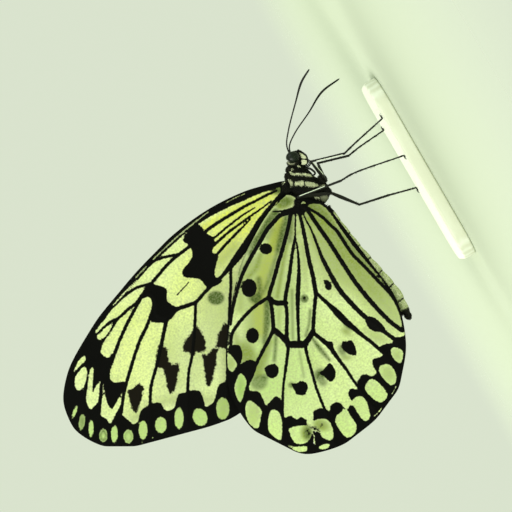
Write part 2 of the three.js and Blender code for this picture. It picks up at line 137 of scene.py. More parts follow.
def smooth_run(points: Sequence[Sequence[float]], step: float, closed: bool = False) -> Array:
    """Walk a smooth curve through points at an even step.

    Args:
        points: the points the curve passes through, in any number of dimensions.
        step: distance between the returned points.
        closed: whether the curve returns to its first point.

    Returns:
        The points of the walk, one a row.
    """
    knots = np.asarray(points, float)
    if closed:
        knots = np.vstack((knots[-1:], knots, knots[:2]))
    else:
        knots = np.vstack((2 * knots[:1] - knots[1:2], knots, 2 * knots[-1:] - knots[-2:-1]))
    runs = []
    for a, b, c, d in zip(knots[:-3], knots[1:-2], knots[2:-1], knots[3:]):
        spans = [max(math.dist(m, n), 1e-6) ** 0.5 for m, n in ((a, b), (b, c), (c, d))]
        t0, t1, t2, t3 = np.cumsum([0.0, *spans])
        count = max(1, round(math.dist(b, c) / step))
        t = (t1 + (t2 - t1) * np.arange(count) / count)[:, None]
        low = (a * (t1 - t) + b * (t - t0)) / (t1 - t0)
        mid = (b * (t2 - t) + c * (t - t1)) / (t2 - t1)
        high = (c * (t3 - t) + d * (t - t2)) / (t3 - t2)
        left = (low * (t2 - t) + mid * (t - t0)) / (t2 - t0)
        right = (mid * (t3 - t) + high * (t - t1)) / (t3 - t1)
        runs.append((left * (t2 - t) + right * (t - t1)) / (t2 - t1))
    if not closed:
        runs.append(knots[-2:-1])
    return np.vstack(runs)


def ease(values: Array, low: float, high: float) -> Array:
    """Rise smoothly from 0 at low to 1 at high."""
    t = np.clip((np.asarray(values, float) - low) / (high - low), 0.0, 1.0)
    return t * t * (3.0 - 2.0 * t)


def run_gap(plan: Array, run: Array, halves: Array) -> Array:
    """Measure how far points stand from a line that has a width.

    Args:
        plan: the points, as rows of p and q.
        run: the points of the line.
        halves: half the line's width at each of its points.

    Returns:
        The distance of each point, negative inside the line.
    """
    best = np.full(len(plan), FAR)
    for a, b, wide, narrow in zip(run[:-1], run[1:], halves[:-1], halves[1:]):
        way = b - a
        t = np.clip((plan - a) @ way / max(way @ way, 1e-12), 0.0, 1.0)
        off = plan - a - t[:, None] * way
        np.minimum(best, np.hypot(off[:, 0], off[:, 1]) - wide - (narrow - wide) * t, out=best)
    return best


class Mark(Protocol):
    """A shape on a wing or on the body, known by the distance to its edge."""

    def gap(self, plan: Array) -> Array:
        """Distance of points to the mark's edge, negative inside it."""

    def guides(self, step: float) -> list[Array]:
        """Points that the triangles of a mesh should pass through."""


@dataclass(frozen=True)
class Line:
    """A smooth line whose width is given at even steps along it."""

    points: Pairs
    width: float | tuple[float, ...] = 0.5

    def run(self, step: float) -> tuple[Array, Array]:
        """Walk the line.

        Args:
            step: distance between the points.

        Returns:
            The line's points, and half its width at each.
        """
        run = smooth_run(self.points, step)
        widths = np.atleast_1d(np.asarray(self.width, float))
        at = np.linspace(0.0, len(widths) - 1.0, len(run))
        return run, np.interp(at, np.arange(len(widths)), widths) / 2

    def gap(self, plan: Array) -> Array:
        """Distance of points to the line's edge, negative inside it."""
        return run_gap(plan, *self.run(0.8))

    def guides(self, step: float) -> list[Array]:
        """Find the points that keep the line's edges sharp.

        Args:
            step: distance between the points.

        Returns:
            Points along the middle and along both edges.
        """
        run, halves = self.run(step)
        way = np.gradient(run, axis=0)
        way /= np.maximum(np.hypot(way[:, 0], way[:, 1]), 1e-9)[:, None]
        across = np.column_stack((-way[:, 1], way[:, 0])) * halves[:, None]
        return [run, run + across, run - across]


@dataclass(frozen=True)
class Spot:
    """An oval with half sizes along p and q, turned anticlockwise by degrees."""

    centre: Pair
    radii: Pair
    turn: float = 0.0

    def gap(self, plan: Array) -> Array:
        """Measure how far points stand from the oval.

        Args:
            plan: the points, as rows of p and q.

        Returns:
            Their distance to the oval's edge, negative inside it.
        """
        c, s = math.cos(math.radians(self.turn)), math.sin(math.radians(self.turn))
        p, q = (plan - np.array(self.centre)).T
        reach = np.hypot((c * p + s * q) / self.radii[0], (c * q - s * p) / self.radii[1])
        return (reach - 1.0) * min(self.radii)

    def guides(self, step: float) -> list[Array]:
        """Find the points that keep the oval's edge sharp.

        Args:
            step: distance between the points.

        Returns:
            Points round the edge.
        """
        count = max(8, round(math.pi * sum(self.radii) / step))
        turn = np.linspace(0.0, math.tau, count, endpoint=False)
        c, s = math.cos(math.radians(self.turn)), math.sin(math.radians(self.turn))
        p, q = self.radii[0] * np.cos(turn), self.radii[1] * np.sin(turn)
        return [np.column_stack((c * p - s * q, s * p + c * q)) + np.array(self.centre)]


@dataclass(frozen=True)
class Field:
    """A closed shape with a smooth outline."""

    points: Pairs

    def gap(self, plan: Array) -> Array:
        """Measure how far points stand from the shape.

        Args:
            plan: the points, as rows of p and q.

        Returns:
            Their distance to the shape's edge, negative inside it.
        """
        run = smooth_run(self.points, 0.5, closed=True)
        loop = np.vstack((run, run[:1]))
        away = run_gap(plan, loop, np.zeros(len(loop)))
        inside = np.zeros(len(plan), bool)
        for (ap, aq), (bp, bq) in zip(loop[:-1], loop[1:]):
            if aq != bq:
                crosses = (aq > plan[:, 1]) != (bq > plan[:, 1])
                inside ^= crosses & (plan[:, 0] < (bp - ap) * (plan[:, 1] - aq) / (bq - aq) + ap)
        return np.where(inside, -away, away)

    def guides(self, step: float) -> list[Array]:
        """Points round the shape's edge."""
        return [smooth_run(self.points, step, closed=True)]


def nearest(marks: Sequence[Mark], plan: Array) -> Array:
    """Distance of points to the nearest edge of several marks, negative inside any."""
    return np.minimum.reduce([np.full(len(plan), FAR), *(mark.gap(plan) for mark in marks)])


# ------------------------------------------------------------------ modelling


def clear_selection() -> None:
    """Leave edit mode and deselect every object."""
    if bpy.context.object and bpy.context.object.mode != "OBJECT":
        bpy.ops.object.mode_set(mode="OBJECT")
    bpy.ops.object.select_all(action="DESELECT")


def pick(obj: Piece) -> None:
    """Make an object the only selected one, and the active one.

    Args:
        obj: the object.
    """
    clear_selection()
    obj.select_set(True)
    bpy.context.view_layer.objects.active = obj


def finish_modifiers(obj: Piece) -> None:
    """Apply all modifiers of an object in order.

    Args:
        obj: the object.
    """
    pick(obj)
    for modifier in list(obj.modifiers):
        bpy.ops.object.modifier_apply(modifier=modifier.name)


def smooth_shading(obj: Piece, degrees: float = 50.0) -> None:
    """Shade an object smoothly except over sharp edges."""
    pick(obj)
    bpy.ops.object.shade_smooth_by_angle(angle=math.radians(degrees))


def join_pieces(name: str, pieces: Sequence[Piece]) -> Piece:
    """Join objects into the first of them.

    Args:
        name: the name of the result.
        pieces: the objects.

    Returns:
        The joined object.
    """
    pick(pieces[0])
    for piece in pieces:
        piece.select_set(True)
    bpy.ops.object.join()
    pieces[0].name = pieces[0].data.name = name
    return pieces[0]


def face_outwards(obj: Piece) -> None:
    """Merge doubled points and turn every face outwards.

    Args:
        obj: the object.
    """
    pick(obj)
    bpy.ops.object.mode_set(mode="EDIT")
    bpy.ops.mesh.select_all(action="SELECT")
    bpy.ops.mesh.remove_doubles(threshold=1e-7)
    bpy.ops.mesh.normals_make_consistent(inside=False)
    bpy.ops.object.mode_set(mode="OBJECT")


def loft(name: str, rings: Sequence[Array]) -> Piece:
    """Extrude a ring of points along stations and close both ends.

    Args:
        name: the object's name.
        rings: the stations, each with equally many points, in metres.

    Returns:
        The closed mesh object.
    """
    clear_selection()
    count = len(rings[0])
    bpy.ops.mesh.primitive_circle_add(vertices=count, radius=MM, fill_type="NOTHING")
    obj = bpy.context.object
    obj.name = obj.data.name = name
    for vertex, place in zip(obj.data.vertices, rings[0]):
        vertex.co = place
    bpy.ops.object.transform_apply(location=True, rotation=True, scale=True)
    bpy.ops.object.mode_set(mode="EDIT")
    bpy.ops.mesh.select_all(action="SELECT")
    bpy.ops.mesh.edge_face_add()
    for ring in rings[1:]:
        bpy.ops.mesh.extrude_region_move()
        mesh = bmesh.from_edit_mesh(obj.data)
        face = next(f for f in mesh.faces if f.select)
        for vertex, place in zip(face.verts, ring):
            vertex.co = place
        bmesh.update_edit_mesh(obj.data)
    bpy.ops.mesh.select_all(action="SELECT")
    bpy.ops.mesh.normals_make_consistent(inside=False)
    bpy.ops.object.mode_set(mode="OBJECT")
    return obj


def tube_rings(route: Array, radii: Array, sides: int) -> list[Array]:
    """Set rings square to a route, without twist.

    Args:
        route: the middle of each ring, in metres.
        radii: the radius of each ring, in metres.
        sides: points in a ring.

    Returns:
        The rings' points.
    """
    ways = unit(np.gradient(route, axis=0))
    across = np.cross(ways[0], (0.31, 0.83, 0.47))
    turns = np.linspace(0.0, math.tau, sides, endpoint=False)[:, None]
    rings = []
    for centre, way, radius in zip(route, ways, radii):
        across = unit(across - way * (across @ way))
        up = np.cross(way, across)
        rings.append(centre + radius * (np.cos(turns) * across + np.sin(turns) * up))
    return rings


def limb(name: str, points: Array, radii: Sequence[float], step: float, sides: int) -> Piece:
    """Loft a round limb along a smooth route.

    Args:
        name: the object's name.
        points: drafted points (p, q, y) that the route passes through.
        radii: the radius at each of those points.
        step: distance between rings.
        sides: points in a ring.

    Returns:
        The limb's object.
    """
    run = smooth_run(np.column_stack((points, radii)), step)
    return loft(name, tube_rings(DRAFT.points(run[:, :3]), run[:, 3] * MM, sides))


def ball(name: str, centre: Sequence[float], radii: Sequence[float], turn: float = 0.0) -> Piece:
    """Add a ball squashed along the drafted axes.

    Args:
        name: the object's name.
        centre: drafted p, q and y.
        radii: half sizes along p, q and y.
        turn: degrees by which it is turned in the drafted plane, anticlockwise.

    Returns:
        The ball's object, with its place in its mesh.
    """
    clear_selection()
    bpy.ops.mesh.primitive_uv_sphere_add(
        segments=28,
        ring_count=18,
        radius=MM,
        location=DRAFT.point(*centre),
        rotation=(0.0, -DRAFT.turn - math.radians(turn), 0.0),
        scale=(radii[0], radii[2], radii[1]),
    )
    obj = bpy.context.object
    obj.name = obj.data.name = name
    bpy.ops.object.transform_apply(location=True, rotation=True, scale=True)
    return obj


def vertex_places(obj: Piece) -> Array:
    """Read the places of an object's vertices.

    Args:
        obj: the object.

    Returns:
        The places in metres, one a row.
    """
    places = np.empty(len(obj.data.vertices) * 3)
    obj.data.vertices.foreach_get("co", places)
    return places.reshape(-1, 3)


def set_attribute(obj: Piece, name: str, values: Array) -> None:
    """Store one number for each vertex under a name that materials read."""
    attribute = obj.data.attributes.new(name, "FLOAT", "POINT")
    attribute.data.foreach_set("value", np.asarray(values, np.float32))


def mesh_object(name: str, points: Array, faces: Array) -> Piece:
    """Make an object from points and faces.

    Args:
        name: the object's name.
        points: the points in metres, one a row.
        faces: the corners of each face, as numbers of points.

    Returns:
        The object.
    """
    mesh = bpy.data.meshes.new(name)
    mesh.from_pydata(points.tolist(), [], faces.tolist())
    mesh.update()
    obj = bpy.data.objects.new(name, mesh)
    bpy.context.scene.collection.objects.link(obj)
    return obj


def spikes(name: str, corners: Array) -> Piece:
    """Make thin spikes of four faces each.

    Args:
        name: the object's name.
        corners: four points a spike in metres, three round its root and then its tip.

    Returns:
        The object, with its faces turned outwards.
    """
    first = np.arange(len(corners) // 4)[:, None, None] * 4
    faces = first + np.array(((0, 1, 2), (0, 3, 1), (1, 3, 2), (2, 3, 0)))
    made = mesh_object(name, corners, faces.reshape(-1, 3))
    face_outwards(made)
    return made


def settle(obj: Piece, slot: str, material: Material, *nodes: str) -> None:
    """Give a piece its finish, hang it on the body, and hide the frame's nodes that it replaces.

    Args:
        obj: the finished piece.
        slot: not used.
        material: the piece's finish.
        nodes: the frame's nodes that the piece replaces.
    """
    obj.data.materials.clear()
    obj.data.materials.append(material)
    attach(obj, BODY)
    if nodes:
        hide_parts(*nodes)
    log.info("%s: %d faces", obj.name, len(obj.data.polygons))


# ------------------------------------------------------------------- finishes


def linear(code: str) -> tuple[float, float, float, float]:
    """Turn an sRGB hex colour into a linear one.

    Args:
        code: the colour as six hex digits after a hash.

    Returns:
        Red, green, blue and alpha.
    """
    channels = [int(code.lstrip("#")[k : k + 2], 16) / 255 for k in (0, 2, 4)]
    low = [c / 12.92 if c <= 0.04045 else ((c + 0.055) / 1.055) ** 2.4 for c in channels]
    return (*low, 1.0)


def new_tree(name: str) -> tuple[Material, Tree]:
    """Make an empty node material.

    Args:
        name: the material's name.

    Returns:
        The material and its node tree.
    """
    material = bpy.data.materials.new(name)
    material.use_nodes = True
    material.node_tree.nodes.clear()
    return material, material.node_tree


def add_node(tree: Tree, kind: str, inputs: dict | None = None, **settings: Any) -> bpy.types.Node:
    """Add a node with its settings, values and links.

    Args:
        tree: the tree that gets the node.
        kind: the node's type.
        inputs: a value or another node's output for each input, by name or number.
        settings: properties of the node, set first.

    Returns:
        The new node.
    """
    node = tree.nodes.new(kind)
    for name, value in settings.items():
        setattr(node, name, value)
    for key, value in (inputs or {}).items():
        if isinstance(value, Socket):
            tree.links.new(value, node.inputs[key])
        else:
            node.inputs[key].default_value = value
    return node


def blend(tree: Tree, share: Any, first: Any, second: Any) -> Socket:
    """Mix two colours by the second one's share."""
    inputs = {0: share, 6: first, 7: second}
    return add_node(tree, "ShaderNodeMix", inputs, data_type="RGBA").outputs[2]


def shade(tree: Tree, colour: Socket, share: Socket) -> Socket:
    """Make a colour darker or lighter by a share of its own light."""
    inputs = {0: colour, "Scale": share}
    return add_node(tree, "ShaderNodeVectorMath", inputs, operation="SCALE").outputs[0]


def grain(tree: Tree, size: float, low: float, high: float, detail: float = 3.0) -> Socket:
    """Add a soft noise.

    Args:
        tree: the material's tree.
        size: the size of its clouds in millimetres.
        low: its least value.
        high: its greatest value.
        detail: how many finer layers it has.

    Returns:
        The noise.
    """
    place = add_node(tree, "ShaderNodeTexCoord").outputs["Object"]
    inputs = {"Vector": place, "Scale": 1 / (size * MM), "Detail": detail}
    noise = add_node(tree, "ShaderNodeTexNoise", inputs).outputs["Fac"]
    # the noise seldom leaves the middle half of its range
    inputs = {"Value": noise, "From Min": 0.25, "From Max": 0.75, "To Min": low, "To Max": high}
    return add_node(tree, "ShaderNodeMapRange", inputs).outputs["Result"]


def share_of(tree: Tree, value: Any, start: float, end: float) -> Socket:
    """Turn a value into a share that goes from 0 at start to 1 at end."""
    inputs = {"Value": value, "From Min": start, "From Max": end}
    return add_node(tree, "ShaderNodeMapRange", inputs, interpolation_type="SMOOTHSTEP").outputs["Result"]


def attribute(tree: Tree, name: str) -> Socket:
    """Read a number stored on the mesh."""
    return add_node(tree, "ShaderNodeAttribute", attribute_name=name).outputs["Fac"]


def sum_of(tree: Tree, first: Any, second: Any, operation: str = "ADD") -> Socket:
    """Join two numbers by a sum or another operation."""
    return add_node(tree, "ShaderNodeMath", {0: first, 1: second}, operation=operation).outputs[0]


def raised(tree: Tree, height: Socket, strength: float, depth: float, invert: bool = False) -> Socket:
    """Turn a height into the normals of a surface raised by a depth in millimetres."""
    inputs = {"Height": height, "Strength": strength, "Distance": depth * MM}
    return add_node(tree, "ShaderNodeBump", inputs, invert=invert).outputs["Normal"]


def skin_shader(tree: Tree, colour: Socket, roughness: Any, normal: Socket, more: dict[str, float]) -> Socket:
    """Add the shader of an opaque surface, with more of its inputs by name."""
    inputs = {"Base Color": colour, "Roughness": roughness, "Normal": normal, **more}
    return add_node(tree, "ShaderNodeBsdfPrincipled", inputs).outputs["BSDF"]


class Wash(Enum):
    """Soft colours laid over a wing's ground in this order, named as the membrane's attributes."""

    # olive and moss are mostly painted shade: shadow stripes between the veins, shade towards the body, the
    # hind wing's shadow on the fore wing, and the far wing's spots showing through
    GREEN = "green"
    YELLOW = "yellow"
    OLIVE = "olive"
    MOSS = "moss"


GREEN, YELLOW, OLIVE, MOSS = Wash


@dataclass(frozen=True)
class WingScales:
    """Scaled wing membrane: thin chitin under rows of tiny overlapping scales.

    Light passes through it, the scales give a matt face with a faint silky sheen,
    and the edges of the markings are ragged by the width of a scale.
    """

    # the yellow-green of ground, bright and green is partly painted light: the green cast of the light round
    # the real insect, whose wings are yellowish white
    ground: str = "#E5EFB2"
    bright: str = "#F4FAD6"
    green: str = "#B4D37A"
    yellow: str = "#E6E96A"
    # the olive and moss washes are mostly painted shade
    olive: str = "#96A64E"
    moss: str = "#566B33"
    brown: str = "#1A160D"
    black: str = "#050504"
    scale: float = 0.42  # real scales are about 0.1 mm; drawn coarser so that they show
    ragged: float = 0.09  # how far the edges of the markings wander
    roughness: float = 0.66
    glow: float = 0.42  # share of the light that comes from behind

    def make(self) -> Material:
        """Build the material.

        Returns:
            The material.
        """
        material, tree = new_tree("scaled_wing_membrane")
        fine = grain(tree, self.scale, -self.ragged, self.ragged, 2.0)
        cloud = grain(tree, 5.0, 0.0, 0.55)
        ink = share_of(tree, sum_of(tree, attribute(tree, "ink"), fine), 0.07, -0.07)
        wide = grain(tree, self.scale * 1.4, -3.2 * self.ragged, 3.2 * self.ragged, 2.0)
        soot = share_of(tree, sum_of(tree, attribute(tree, "soot"), wide), 0.2, -0.2)
        colour = blend(tree, cloud, linear(self.ground), linear(self.bright))
        speckle = grain(tree, self.scale, 0.6, 1.4, 2.0)
        # olive and moss among the washes are mostly painted shade
        for wash in Wash:
            tone = linear(getattr(self, wash.value))
            share = sum_of(tree, attribute(tree, wash.value), speckle, "MULTIPLY")
            colour = blend(tree, share, colour, tone)
        rows = grain(tree, self.scale, 0.8, 1.22, 2.0)
        colour = blend(tree, soot, shade(tree, colour, rows), linear(self.brown))
        colour = blend(tree, ink, colour, linear(self.black))
        normal = raised(tree, grain(tree, self.scale, 0.0, 1.0, 2.0), 0.35, 0.03)
        face = skin_shader(tree, colour, self.roughness, normal, {"Specular IOR Level": 0.1})
        inputs = {"Color": colour, "Normal": normal}
        through = add_node(tree, "ShaderNodeBsdfTranslucent", inputs).outputs["BSDF"]
        both = add_node(tree, "ShaderNodeMixShader", {0: self.glow, 1: face, 2: through}).outputs[0]
        add_node(tree, "ShaderNodeOutputMaterial", {"Surface": both})
        return material


@dataclass(frozen=True)
class Coat:
    """Fine hairs and long scales over soft cuticle: matt, with a soft sheen at grazing light."""

    name: str
    dark: str = "#080806"
    light: str = "#D6DAB6"
    tip: str = "#17170F"
    roughness: float = 0.75
    fibre: float = 0.12  # size of the light and dark grain in the coat

    def make(self) -> Material:
        """Build the material.

        Returns:
            The material.
        """
        material, tree = new_tree(self.name)
        fine = grain(tree, self.fibre, 0.75, 1.2)
        marks = share_of(tree, attribute(tree, "cream"), 0.25, 0.75)
        dark = blend(tree, attribute(tree, "tone"), linear(self.dark), linear(self.tip))
        colour = blend(tree, marks, dark, linear(self.light))
        normal = raised(tree, grain(tree, self.fibre, 0.0, 1.0), 0.5, 0.04)
        soft = {"Specular IOR Level": 0.08, "Sheen Weight": 0.03}
        shader = skin_shader(tree, shade(tree, colour, fine), self.roughness, normal, soft)
        add_node(tree, "ShaderNodeOutputMaterial", {"Surface": shader})
        return material


@dataclass(frozen=True)
class Chitin:
    """Hard black cuticle of limbs and feelers: smooth, a little waxy, with white scaled stripes."""

    name: str = "black_cuticle"
    dark: str = "#060605"
    warm: str = "#15150E"
    light: str = "#DFE8D6"
    roughness: float = 0.45
    pitting: float = 0.15  # size of the grain in the surface and at the stripes' edges

    def make(self) -> Material:
        """Build the material.

        Returns:
            The material.
        """
        material, tree = new_tree(self.name)
        dark = blend(tree, grain(tree, 0.9, 0.0, 0.8), linear(self.dark), linear(self.warm))
        fine = grain(tree, self.pitting, -0.2, 0.2)
        stripe = share_of(tree, sum_of(tree, attribute(tree, "stripe"), fine), 0.4, 0.6)
        colour = blend(tree, stripe, dark, linear(self.light))
        normal = raised(tree, grain(tree, self.pitting, 0.0, 1.0), 0.3, 0.02)
        roughness = grain(tree, 0.4, self.roughness - 0.08, self.roughness + 0.12)
        waxy = {"Specular IOR Level": 0.15, "IOR": 1.55}
        shader = skin_shader(tree, colour, roughness, normal, waxy)
        add_node(tree, "ShaderNodeOutputMaterial", {"Surface": shader})
        return material


@dataclass(frozen=True)
class CompoundEye:
    """A compound eye: glassy lenses over dark pigment, clear gloss with a fine honeycomb."""

    deep: str = "#050805"
    green: str = "#151E12"
    roughness: float = 0.28
    facet: float = 0.085  # real facets are about 0.03 mm; drawn coarser so that they show

    def make(self) -> Material:
        """Build the material.

        Returns:
            The material.
        """
        material, tree = new_tree("compound_eye")
        place = add_node(tree, "ShaderNodeTexCoord").outputs["Object"]
        inputs = {"Vector": place, "Scale": 1 / (self.facet * MM), "Randomness": 0.25}
        cells = add_node(tree, "ShaderNodeTexVoronoi", inputs).outputs["Distance"]
        colour = blend(tree, grain(tree, 0.8, 0.0, 1.0), linear(self.deep), linear(self.green))
        normal = raised(tree, cells, 0.5, 0.02, invert=True)
        glassy = {"Specular IOR Level": 0.18, "IOR": 1.5, "Coat Weight": 0.04, "Coat Roughness": 0.1}
        shader = skin_shader(tree, colour, self.roughness, normal, glassy)
        add_node(tree, "ShaderNodeOutputMaterial", {"Surface": shader})
        return material


@dataclass(frozen=True)
class LimedWood:
    """Sanded lime wood under thin white paint: matt, with the grain faint under the white."""

    white: str = "#E4E8DA"
    grain_colour: str = "#C6C8AE"
    ring: float = 1.5  # width of a growth ring

    def make(self) -> Material:
        """Build the material.

        Returns:
            The material.
        """
        material, tree = new_tree("limed_wood")
        place = add_node(tree, "ShaderNodeTexCoord").outputs["Object"]
        stretch = add_node(tree, "ShaderNodeMapping", {"Vector": place, "Scale": (0.12, 1.0, 1.0)})
        inputs = {
            "Vector": stretch.outputs["Vector"],
            "Scale": math.tau / 20 / (self.ring * MM),  # twenty radians to a unit
            "Distortion": 3.0,
            "Detail": 3.0,
            "Detail Scale": 2.0,
        }
        rings = add_node(tree, "ShaderNodeTexWave", inputs, bands_direction="Y").outputs["Fac"]
        share = sum_of(tree, rings, 0.55, "MULTIPLY")
        colour = blend(tree, share, linear(self.white), linear(self.grain_colour))
        normal = raised(tree, sum_of(tree, rings, grain(tree, 0.3, 0.0, 0.5)), 0.15, 0.04)
        shader = skin_shader(tree, colour, grain(tree, 1.0, 0.5, 0.68), normal, {})
        add_node(tree, "ShaderNodeOutputMaterial", {"Surface": shader})
        return material


# ---------------------------------------------------------------------- wings


@dataclass(frozen=True)
class Tint:
    """A soft patch of colour round a mark."""

    wash: Wash
    mark: Mark
    blur: float
    strength: float


@dataclass(frozen=True)
class WingPlan:
    """One wing drawn flat: its outline, veins, markings and tints."""

    outline: Pairs
    veins: tuple[Line, ...]
    black: tuple[Mark, ...]
    brown: tuple[Mark, ...]
    pale: tuple[Mark, ...]
    ovals: tuple[Mark, ...]  # along the margin
    tints: tuple[Tint, ...]
    spread: float  # how far the black reaches past each edge of a vein
    pale_green: float  # how green the ovals are
    holes: tuple[Field, ...] = ()

    def inked(self) -> tuple[Line, ...]:
        """The veins, as broad as the black scales along them."""
        grown = [np.atleast_1d(vein.width) + 2 * self.spread for vein in self.veins]
        return tuple(Line(vein.points, tuple(widths)) for vein, widths in zip(self.veins, grown))


FORE_OUTLINE = (
    (-3, 1.9), (-7.5, 1.05), (-12, -0.2), (-20, -4.1), (-28, -9.9), (-32, -13.9), (-36, -18), (-40, -22.8),
    (-44.3, -28), (-46.8, -32), (-49.2, -36), (-51, -40), (-52, -46), (-50.9, -50), (-49, -53),
    (-43.5, -56.1), (-40, -56.2), (-36, -56.2), (-33.5, -55.4), (-29.3, -54.1), (-26, -52.75), (-22, -52.5),
    (-19, -51.6), (-15, -50.1), (-12, -48), (-10, -45.5), (-7.6, -34), (-3.4, -3.5), (-2.3, -1.8),
    (-2.1, 0.8),
)

FORE_VEINS = (
    Line(((-22, -6.6), (-26, -9.8), (-34, -17.4), (-42, -26.5), (-44, -29.5)), 0.45),
    Line(((-5.2, -0.15), (-7.5, -1.2), (-9.7, -2.35), (-12, -3.5), (-20, -8.5), (-24, -12.1),
        (-28.5, -15.7), (-31, -18.5), (-34.2, -22.3), (-35.4, -24)), (0.35, 0.52, 0.55, 0.5)),
    Line(((-27, -14.2), (-30, -14.8), (-31.8, -15.4)), 0.45),
    Line(((-33, -20.6), (-36, -21.5), (-38, -22.8), (-40.4, -24.9), (-41.8, -26.3)), 0.45),
    Line(((-34.8, -23.3), (-36, -24.8), (-38, -26.4), (-40, -28.2), (-41.5, -28.9), (-43.3, -30.3),
        (-44.8, -31.8)), 0.5),
    Line(((-40.4, -28.6), (-42, -31.2), (-43.6, -33.4), (-44.6, -36.6), (-46.4, -39.2), (-46.8, -41.3),
        (-47.6, -47)), 0.55),
    Line(((-35, -23.7), (-38.3, -30), (-39.8, -33.4), (-42.4, -40.3), (-43.5, -42.2), (-43.8, -45.1),
        (-44.2, -49.5)), 0.55),
    Line(((-35.2, -23.8), (-33, -22.6), (-31.6, -25), (-31.5, -27.4), (-29.4, -28)), 0.6),
    Line(((-32.7, -27.1), (-33.1, -28.4), (-33.6, -29.7), (-35.1, -32.8), (-36.2, -35.8), (-37.4, -39.8),
        (-38.7, -44.5), (-39.3, -49)), 0.55),
    Line(((-29.2, -27.7), (-31.6, -38.9), (-32.7, -42.9), (-33, -52.5)), (0.75, 0.55, 0.5, 0.55)),
    Line(((-23, -24.8), (-23.1, -29), (-23.8, -36.7), (-24.5, -40.3), (-24.9, -51)), 0.47),
    Line(((-15.3, -16.8), (-15.2, -20), (-15.4, -24), (-16.2, -47)), 0.5),
    Line(((-3.4, -0.1), (-5.1, -2), (-8.8, -6.8), (-10.65, -10.3), (-15.2, -16.6), (-17, -18.8)),
        (0.6, 0.65, 0.7, 1.15, 1.55, 1.7, 1.5, 1.1, 0.6)),
    Line(((-4.2, -2.6), (-7.6, -7.2), (-12.4, -16), (-13.8, -20)), (0.3, 0.5, 0.5, 0.5, 0.1)),
    Line(((-17, -18.8), (-20.9, -22.4), (-23, -24.65), (-27, -26.15), (-29.5, -27.7)),
        (0.55, 0.55, 0.65, 0.85)),
    Line(((-4.6, -6), (-7.6, -20), (-12.2, -44.5)), 0.5),
)

FORE_BLACK = (
    # the root, the band along the front edge, and the streaks in the cell
    Field(((-4.1, 0.6), (-1.6, 1.6), (-1.5, -2.4), (-3.2, -3.4), (-4.8, -2.7), (-4.3, -1.2))),
    Line(((-3, 1.9), (-7.5, 1.05), (-12, -0.2), (-20, -4.1), (-28, -9.9), (-36, -18), (-44.3, -28),
        (-46.8, -32)), (1.5, 2.6, 3.6, 3.4, 3, 2.8, 2.6, 2.6, 2.8, 2.4, 2.5, 2.8)),
    Line(((-19.4, -10.8), (-18.5, -10.2), (-15.9, -8), (-12.2, -5.25), (-10, -3.9)),
        (0.36, 0.36, 0.36, 0.16)),
    Line(((-19.1, -12.25), (-15.9, -9.4), (-10.7, -5.6), (-8, -3.7), (-6.4, -2.4)),
        (0.5, 0.46, 0.36, 0.15)),
    Line(((-18.6, -14.5), (-17.7, -13.5), (-16.4, -12), (-11, -6.5)), (0.5, 0.52, 0.42, 0.2)),
    Line(((-24.5, -20.3), (-27, -23)), 0.12),
    # the patch in the middle of the cell and the one at its end
    Field(((-23.8, -7.6), (-22, -7.9), (-21.5, -8.4), (-21.1, -9.3), (-19.3, -10.4), (-18.8, -11.7),
        (-19.4, -13.8), (-18.1, -14.2), (-18.7, -17), (-18.7, -19.1), (-17.2, -19.9), (-20.2, -21.4),
        (-22, -19.6), (-25.6, -18.9), (-25.8, -17.8), (-24, -15.4), (-23.6, -14.2), (-24.4, -12),
        (-25.7, -11.2), (-25, -9.7))),
    Field(((-33.2, -20.5), (-31.5, -21), (-29.5, -21.7), (-29.3, -24.4), (-28.3, -25.2), (-27, -26),
        (-27.4, -27), (-28.2, -28.1), (-30, -29), (-32.5, -28.9), (-33.3, -28.2), (-32.8, -26.7),
        (-32.5, -25.2), (-32.6, -24.2), (-33.3, -23.4), (-35, -23.8))),
    # the dark tip, and the margin with its arches
    Field(((-48.5, -30.5), (-45, -31.2), (-44.5, -32.8), (-43.6, -33.2), (-43.9, -35.6), (-42.9, -36.7),
        (-42, -36.9), (-41.2, -35.9), (-41.8, -41.4), (-40.9, -42.3), (-38.9, -42.2), (-38.3, -42.6),
        (-39.2, -44.4), (-40.7, -47.1), (-41.3, -48), (-42, -47.4), (-42.8, -44.8), (-43.4, -41.6),
        (-44.9, -43), (-45.5, -44.3), (-45.4, -41), (-45.4, -38.8), (-46.4, -39.4), (-50, -40),
        (-54, -37))),
    Field(((-46.5, -38.8), (-47, -41.5), (-47.6, -43.8), (-47.2, -45.5), (-46.8, -47), (-46, -48.2),
        (-44.6, -46.9), (-44, -46.2), (-43.2, -44.6), (-43.7, -46.4), (-44, -48.8), (-43.7, -49.6),
        (-42.5, -50.4), (-41.8, -51.4), (-40, -48.4), (-39.2, -46.9), (-39.1, -49.3), (-37.6, -50.7),
        (-36.6, -51.5), (-35.7, -51), (-34.8, -48.4), (-31.4, -46.7), (-30.6, -46.9), (-30.1, -47.9),
        (-29.2, -48.6), (-27.7, -47.9), (-27.1, -46), (-26.5, -44.8), (-25.1, -44.5), (-24.4, -44.2),
        (-23.1, -44), (-22.1, -44.3), (-21.2, -46.4), (-20.7, -47.7), (-18.9, -46.4), (-18, -43.3),
        (-17.2, -42.4), (-15.3, -42.3), (-12, -42.5), (-9, -41), (-5, -44), (-10, -53), (-20, -58),
        (-46, -60), (-56, -52), (-55, -38))),
)

